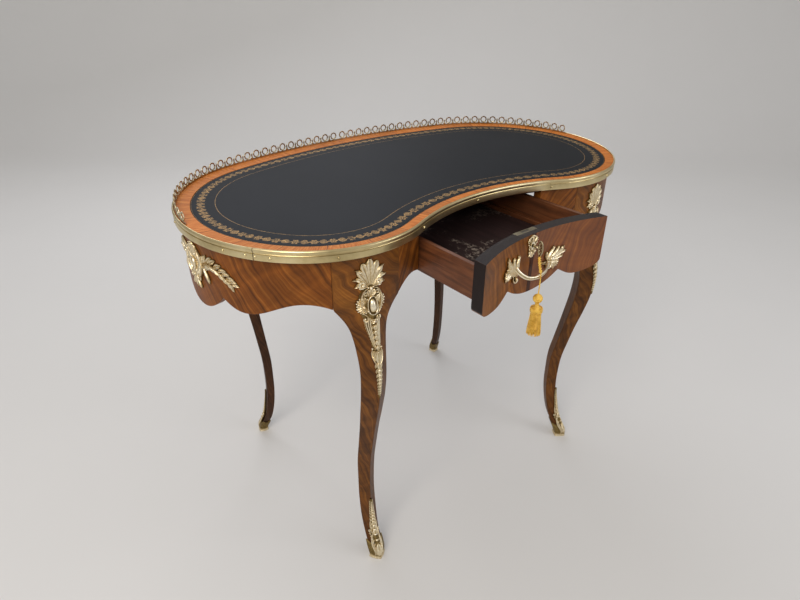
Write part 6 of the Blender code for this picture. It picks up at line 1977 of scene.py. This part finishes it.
class DESK_OT_tassel(bpy.types.Operator):
    """Make the silk cord and the tassel that hang from the key"""

    bl_idname = "desk.make_tassel"
    bl_label = "Cord and tassel"

    def cord_line(self):
        """From the bow, over the bail and on through the tassel's head to its skirt."""
        top = Vector((KEY_X, face_y(KEY_X) - BOW_STAND, CORD_TOP_Z))
        foot = Vector((KEY_X, face_y(KEY_X) - CORD_STAND, CORD_FOOT_Z))
        points = []
        for i in range(CORD_POINTS):
            share = i / (CORD_POINTS - 1)
            out = ease(share / CORD_BEND_SHARE)
            points.append(Vector((KEY_X, top.y + (foot.y - top.y) * out, top.z + (foot.z - top.z) * share)))
        return points + [foot - share * CORD_INSIDE * UP for share in (0.25, 0.5, 0.75, 1.0)]

    def cord(self, rows):
        """Three strands twisted together."""
        count = 8 * (len(rows) - 1)
        rings = []
        for k in range(count + 1):
            centre = Vector(curved(rows, k / 8))
            lobes = [(a, 1 - 0.16 * (1 - abs(math.cos(1.5 * (a - CORD_TWIST * k))))) for a in turns(12)]
            rings.append([centre + CORD_RADIUS * lobe * Vector((math.cos(a), math.sin(a), 0.0))
                          for a, lobe in lobes])
        return object_of("key_cord_of_silk", loft(rings), smooth=60)

    def doubled(self, rows, step):
        """Two strands wound round the cord below the bow, and the knot that ends them."""
        skin = bmesh.new()
        last = DOUBLED_LENGTH / step
        for start in (0.0, math.pi):
            rings = []
            for k in range(37):
                turn = start + 3 * CORD_TWIST * k
                centre = Vector(curved(rows, last * k / 36))
                centre += DOUBLED_REACH * Vector((math.cos(turn), math.sin(turn), 0.0))
                rings.append([(*spot, centre.z)
                              for spot in oval(centre.x, centre.y, DOUBLED_RADIUS, DOUBLED_RADIUS, 14)])
            loft(rings, skin=skin)
        knot = Vector(curved(rows, last))
        lobes = [(a, 0.25 * math.cos(5 * a)) for a in turns(14)]
        loft([[(knot.x + (reach + lobe) * MM * math.cos(a), knot.y + (reach + lobe) * MM * math.sin(a),
                knot.z - drop * MM) for a, lobe in lobes] for drop, reach in CORD_KNOT], skin=skin)
        return object_of("key_cord_doubled", skin, smooth=60)

    def head(self, x, y, high, tall):
        """The turned mould under its silk: a ribbed bulb, a neck, a collar and the skirt's core."""
        rings = []
        for depth, share, ribs in TASSEL_HEAD_SHARES:
            reaches = [(a, share * TASSEL_RADIUS * (1 + ribs * math.cos(24 * a))) for a in turns(72)]
            rings.append([(x + reach * math.cos(a), y + reach * math.sin(a), high - depth * tall)
                          for a, reach in reaches])
        return object_of("tassel_head", loft(rings), smooth=50)

    def skirt(self, x, y, low, high):
        """The strands, laid in rows over the core."""
        rim = 0.26 * TASSEL_RADIUS
        shares = [i / 6 for i in range(7)]
        strand = loft([
            [(0.55 * MM * math.cos(a) * (1 - 0.25 * share), (low - high) * share,
              rim * ease(share) + 0.45 * MM * math.sin(a)) for a in turns(5)] for share in shares
        ])
        unit = object_of("strand_unit", strand, smooth=60)
        draw = random.Random(11)
        places = []
        for i in range(sizes().tassel_strands):
            turn = math.tau * (i * GOLDEN_SHARE) + 0.05 * draw.random()
            reach = 0.72 * TASSEL_RADIUS * (0.78 + 0.11 * (i % 3))
            facing = Vector((math.cos(turn), math.sin(turn), 0.0))
            tilt = UP.cross(facing) + 0.07 * (draw.random() - 0.5) * UP
            places.append((Vector((x, y, high)) + reach * facing, facing, tilt.normalized()))
        return lay("tassel_strands", places, unit, finish("silk"), smallest=0.94, largest=1.0, seed=3)

    def collar(self, x, y, top):
        """Short leaves of silk over the head of the skirt; their reach across is an angle."""
        def place(u, w, stand):
            reach = 0.74 * TASSEL_RADIUS + stand
            return Vector((x + reach * math.cos(u), y + reach * math.sin(u), w))

        cast = Casting(place, 1.0)
        for turn in turns(12):
            for u, drop in ((turn, 11.5 * MM), (turn + 0.26, 8.0 * MM)):
                cast.leaf(bend((u, top), (u, top - 5 * MM), (u, top - drop), 7), 0.50, 2.6 * MM, groove=0.3)
        made = object_of("tassel_collar", cast.skin, smooth=60)
        made.data.attributes.remove(made.data.attributes["crown"])
        return made

    def execute(self, context):
        line = self.cord_line()
        rows = [(float(i), *point) for i, point in enumerate(line)]
        cord = self.cord(rows)
        doubled = self.doubled(rows, (line[0] - line[CORD_POINTS - 1]).length / (CORD_POINTS - 1))
        x, y = line[-1].x, line[-1].y
        low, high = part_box("tassel")[0].z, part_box("tassel")[1].z
        tall = high - low
        head = self.head(x, y, high, tall)
        strands = self.skirt(x, y, low, high - 0.415 * tall)
        collar = self.collar(x, y, high - 0.325 * tall)
        for made in (cord, doubled, head, strands, collar):
            seat(made, finish("silk"), "tassel_cord", "gold_thread")
        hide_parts("key_cord")
        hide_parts("tassel")
        length = sum((b - a).length for a, b in zip(line, line[1:]))
        tuple(line[0])
        [tuple(point) for point in line]
        return {"FINISHED"}


# Stage


class DESK_OT_stage(bpy.types.Operator):
    """Make the pale floor and backdrop, the soft lamps and the camera"""

    bl_idname = "desk.make_stage"
    bl_label = "Stage"

    def sweep(self):
        """A floor that turns up into a wall on a wide curve, square to the camera's view."""
        profile = [(-STAGE_SIZE, 0.0), (STAGE_DEPTH, 0.0)]
        for i in range(1, 13):
            a = math.pi / 2 * i / 12
            profile.append((STAGE_DEPTH + STAGE_CURVE * math.sin(a), STAGE_CURVE * (1 - math.cos(a))))
        profile.append((STAGE_DEPTH + STAGE_CURVE, STAGE_SIZE))
        turn = Matrix.Rotation(math.radians(CAMERA_TURN), 3, "Z")
        spots = [turn @ Vector((x, y, z)) for y, z in profile for x in (-STAGE_HALF_WIDTH, STAGE_HALF_WIDTH)]
        mesh = bpy.data.meshes.new("studio_sweep")
        mesh.from_pydata(spots, [], [(i, i + 1, i + 3, i + 2) for i in range(0, len(spots) - 2, 2)])
        mesh.shade_smooth()
        material, tree, shader = blank("matt_painted_floor")
        place = put(tree, "TexCoord").outputs["Object"]
        grain = put(tree, "TexNoise", {"Vector": place, "Scale": 3.0, "Detail": 4.0})
        tone = put(tree, "MapRange", {"Value": grain, "To Min": 0.97, "To Max": 1.0})
        shade = put(tree, "VectorMath", {0: colours().floor[:3], "Scale": tone}, operation="SCALE")
        feed(tree, shader, {"Base Color": shade, "Roughness": 0.75})
        mesh.materials.append(material)
        show("studio_sweep", mesh)

    def execute(self, context):
        scene = context.scene
        self.sweep()
        for name, place, aim, size, share, tint in LAMPS:
            data = bpy.data.lights.new(name, "AREA")
            data.shape = "RECTANGLE"
            data.size, data.size_y = size
            data.energy = share * sizes().lamp_power
            data.color = linear(tint)[:3]
            made = show(name, data)
            made.location = place
            made.rotation_euler = (Vector(aim) - Vector(place)).to_track_quat("-Z", "Y").to_euler()
        world = bpy.data.worlds.new("studio_room")
        world.use_nodes = True
        backdrop = world.node_tree.nodes["Background"]
        feed(world.node_tree, backdrop, {"Color": linear(ROOM_TINT), "Strength": ROOM_LIGHT})
        scene.world = world
        data = bpy.data.cameras.new("photograph_view")
        data.sensor_width = SENSOR_WIDTH
        data.lens = CAMERA_LENS
        data.clip_start = 0.05
        view = show("photograph_view", data)
        turn = Matrix.Translation(CAMERA_PLACE)
        for degrees, axis in ((CAMERA_TURN, "Z"), (CAMERA_TILT, "X"), (CAMERA_ROLL, "Z")):
            turn = turn @ Matrix.Rotation(math.radians(degrees), 4, axis)
        view.matrix_world = turn
        scene.camera = view
        scene.view_settings.view_transform = "Standard"
        return {"FINISHED"}


class DESK_PT_finish(bpy.types.Panel):
    """The desk's sizes, its colours and the makers of its pieces"""

    bl_idname = "DESK_PT_finish"
    bl_label = "Kidney desk"
    bl_space_type = "VIEW_3D"
    bl_region_type = "UI"
    bl_category = "Desk"

    def draw(self, context):
        layout = self.layout
        for maker in MAKERS:
            layout.operator(maker.bl_idname)
        for group in (context.scene.desk_sizes, context.scene.desk_colours):
            for name in group.__annotations__:
                layout.prop(group, name)


MAKERS = (
    DESK_OT_stage, DESK_OT_tassel, DESK_OT_top, DESK_OT_band, DESK_OT_gallery, DESK_OT_walls, DESK_OT_legs,
    DESK_OT_knee_mounts, DESK_OT_sabots, DESK_OT_end_mounts, DESK_OT_drawer, DESK_OT_carcass, DESK_OT_lock,
    DESK_OT_key, DESK_OT_escutcheon, DESK_OT_pull,
)
CLASSES = (DeskSizes, DeskColours, *MAKERS, DESK_PT_finish)


def register():
    for kind in CLASSES:
        bpy.utils.register_class(kind)
    bpy.types.Scene.desk_sizes = PointerProperty(type=DeskSizes)
    bpy.types.Scene.desk_colours = PointerProperty(type=DeskColours)


def unregister():
    del bpy.types.Scene.desk_colours
    del bpy.types.Scene.desk_sizes
    for kind in reversed(CLASSES):
        bpy.utils.unregister_class(kind)


def main():
    register()
    for maker in MAKERS:
        group, name = maker.bl_idname.split(".")
        getattr(getattr(bpy.ops, group), name)()


if __name__ == "__main__":
    main()
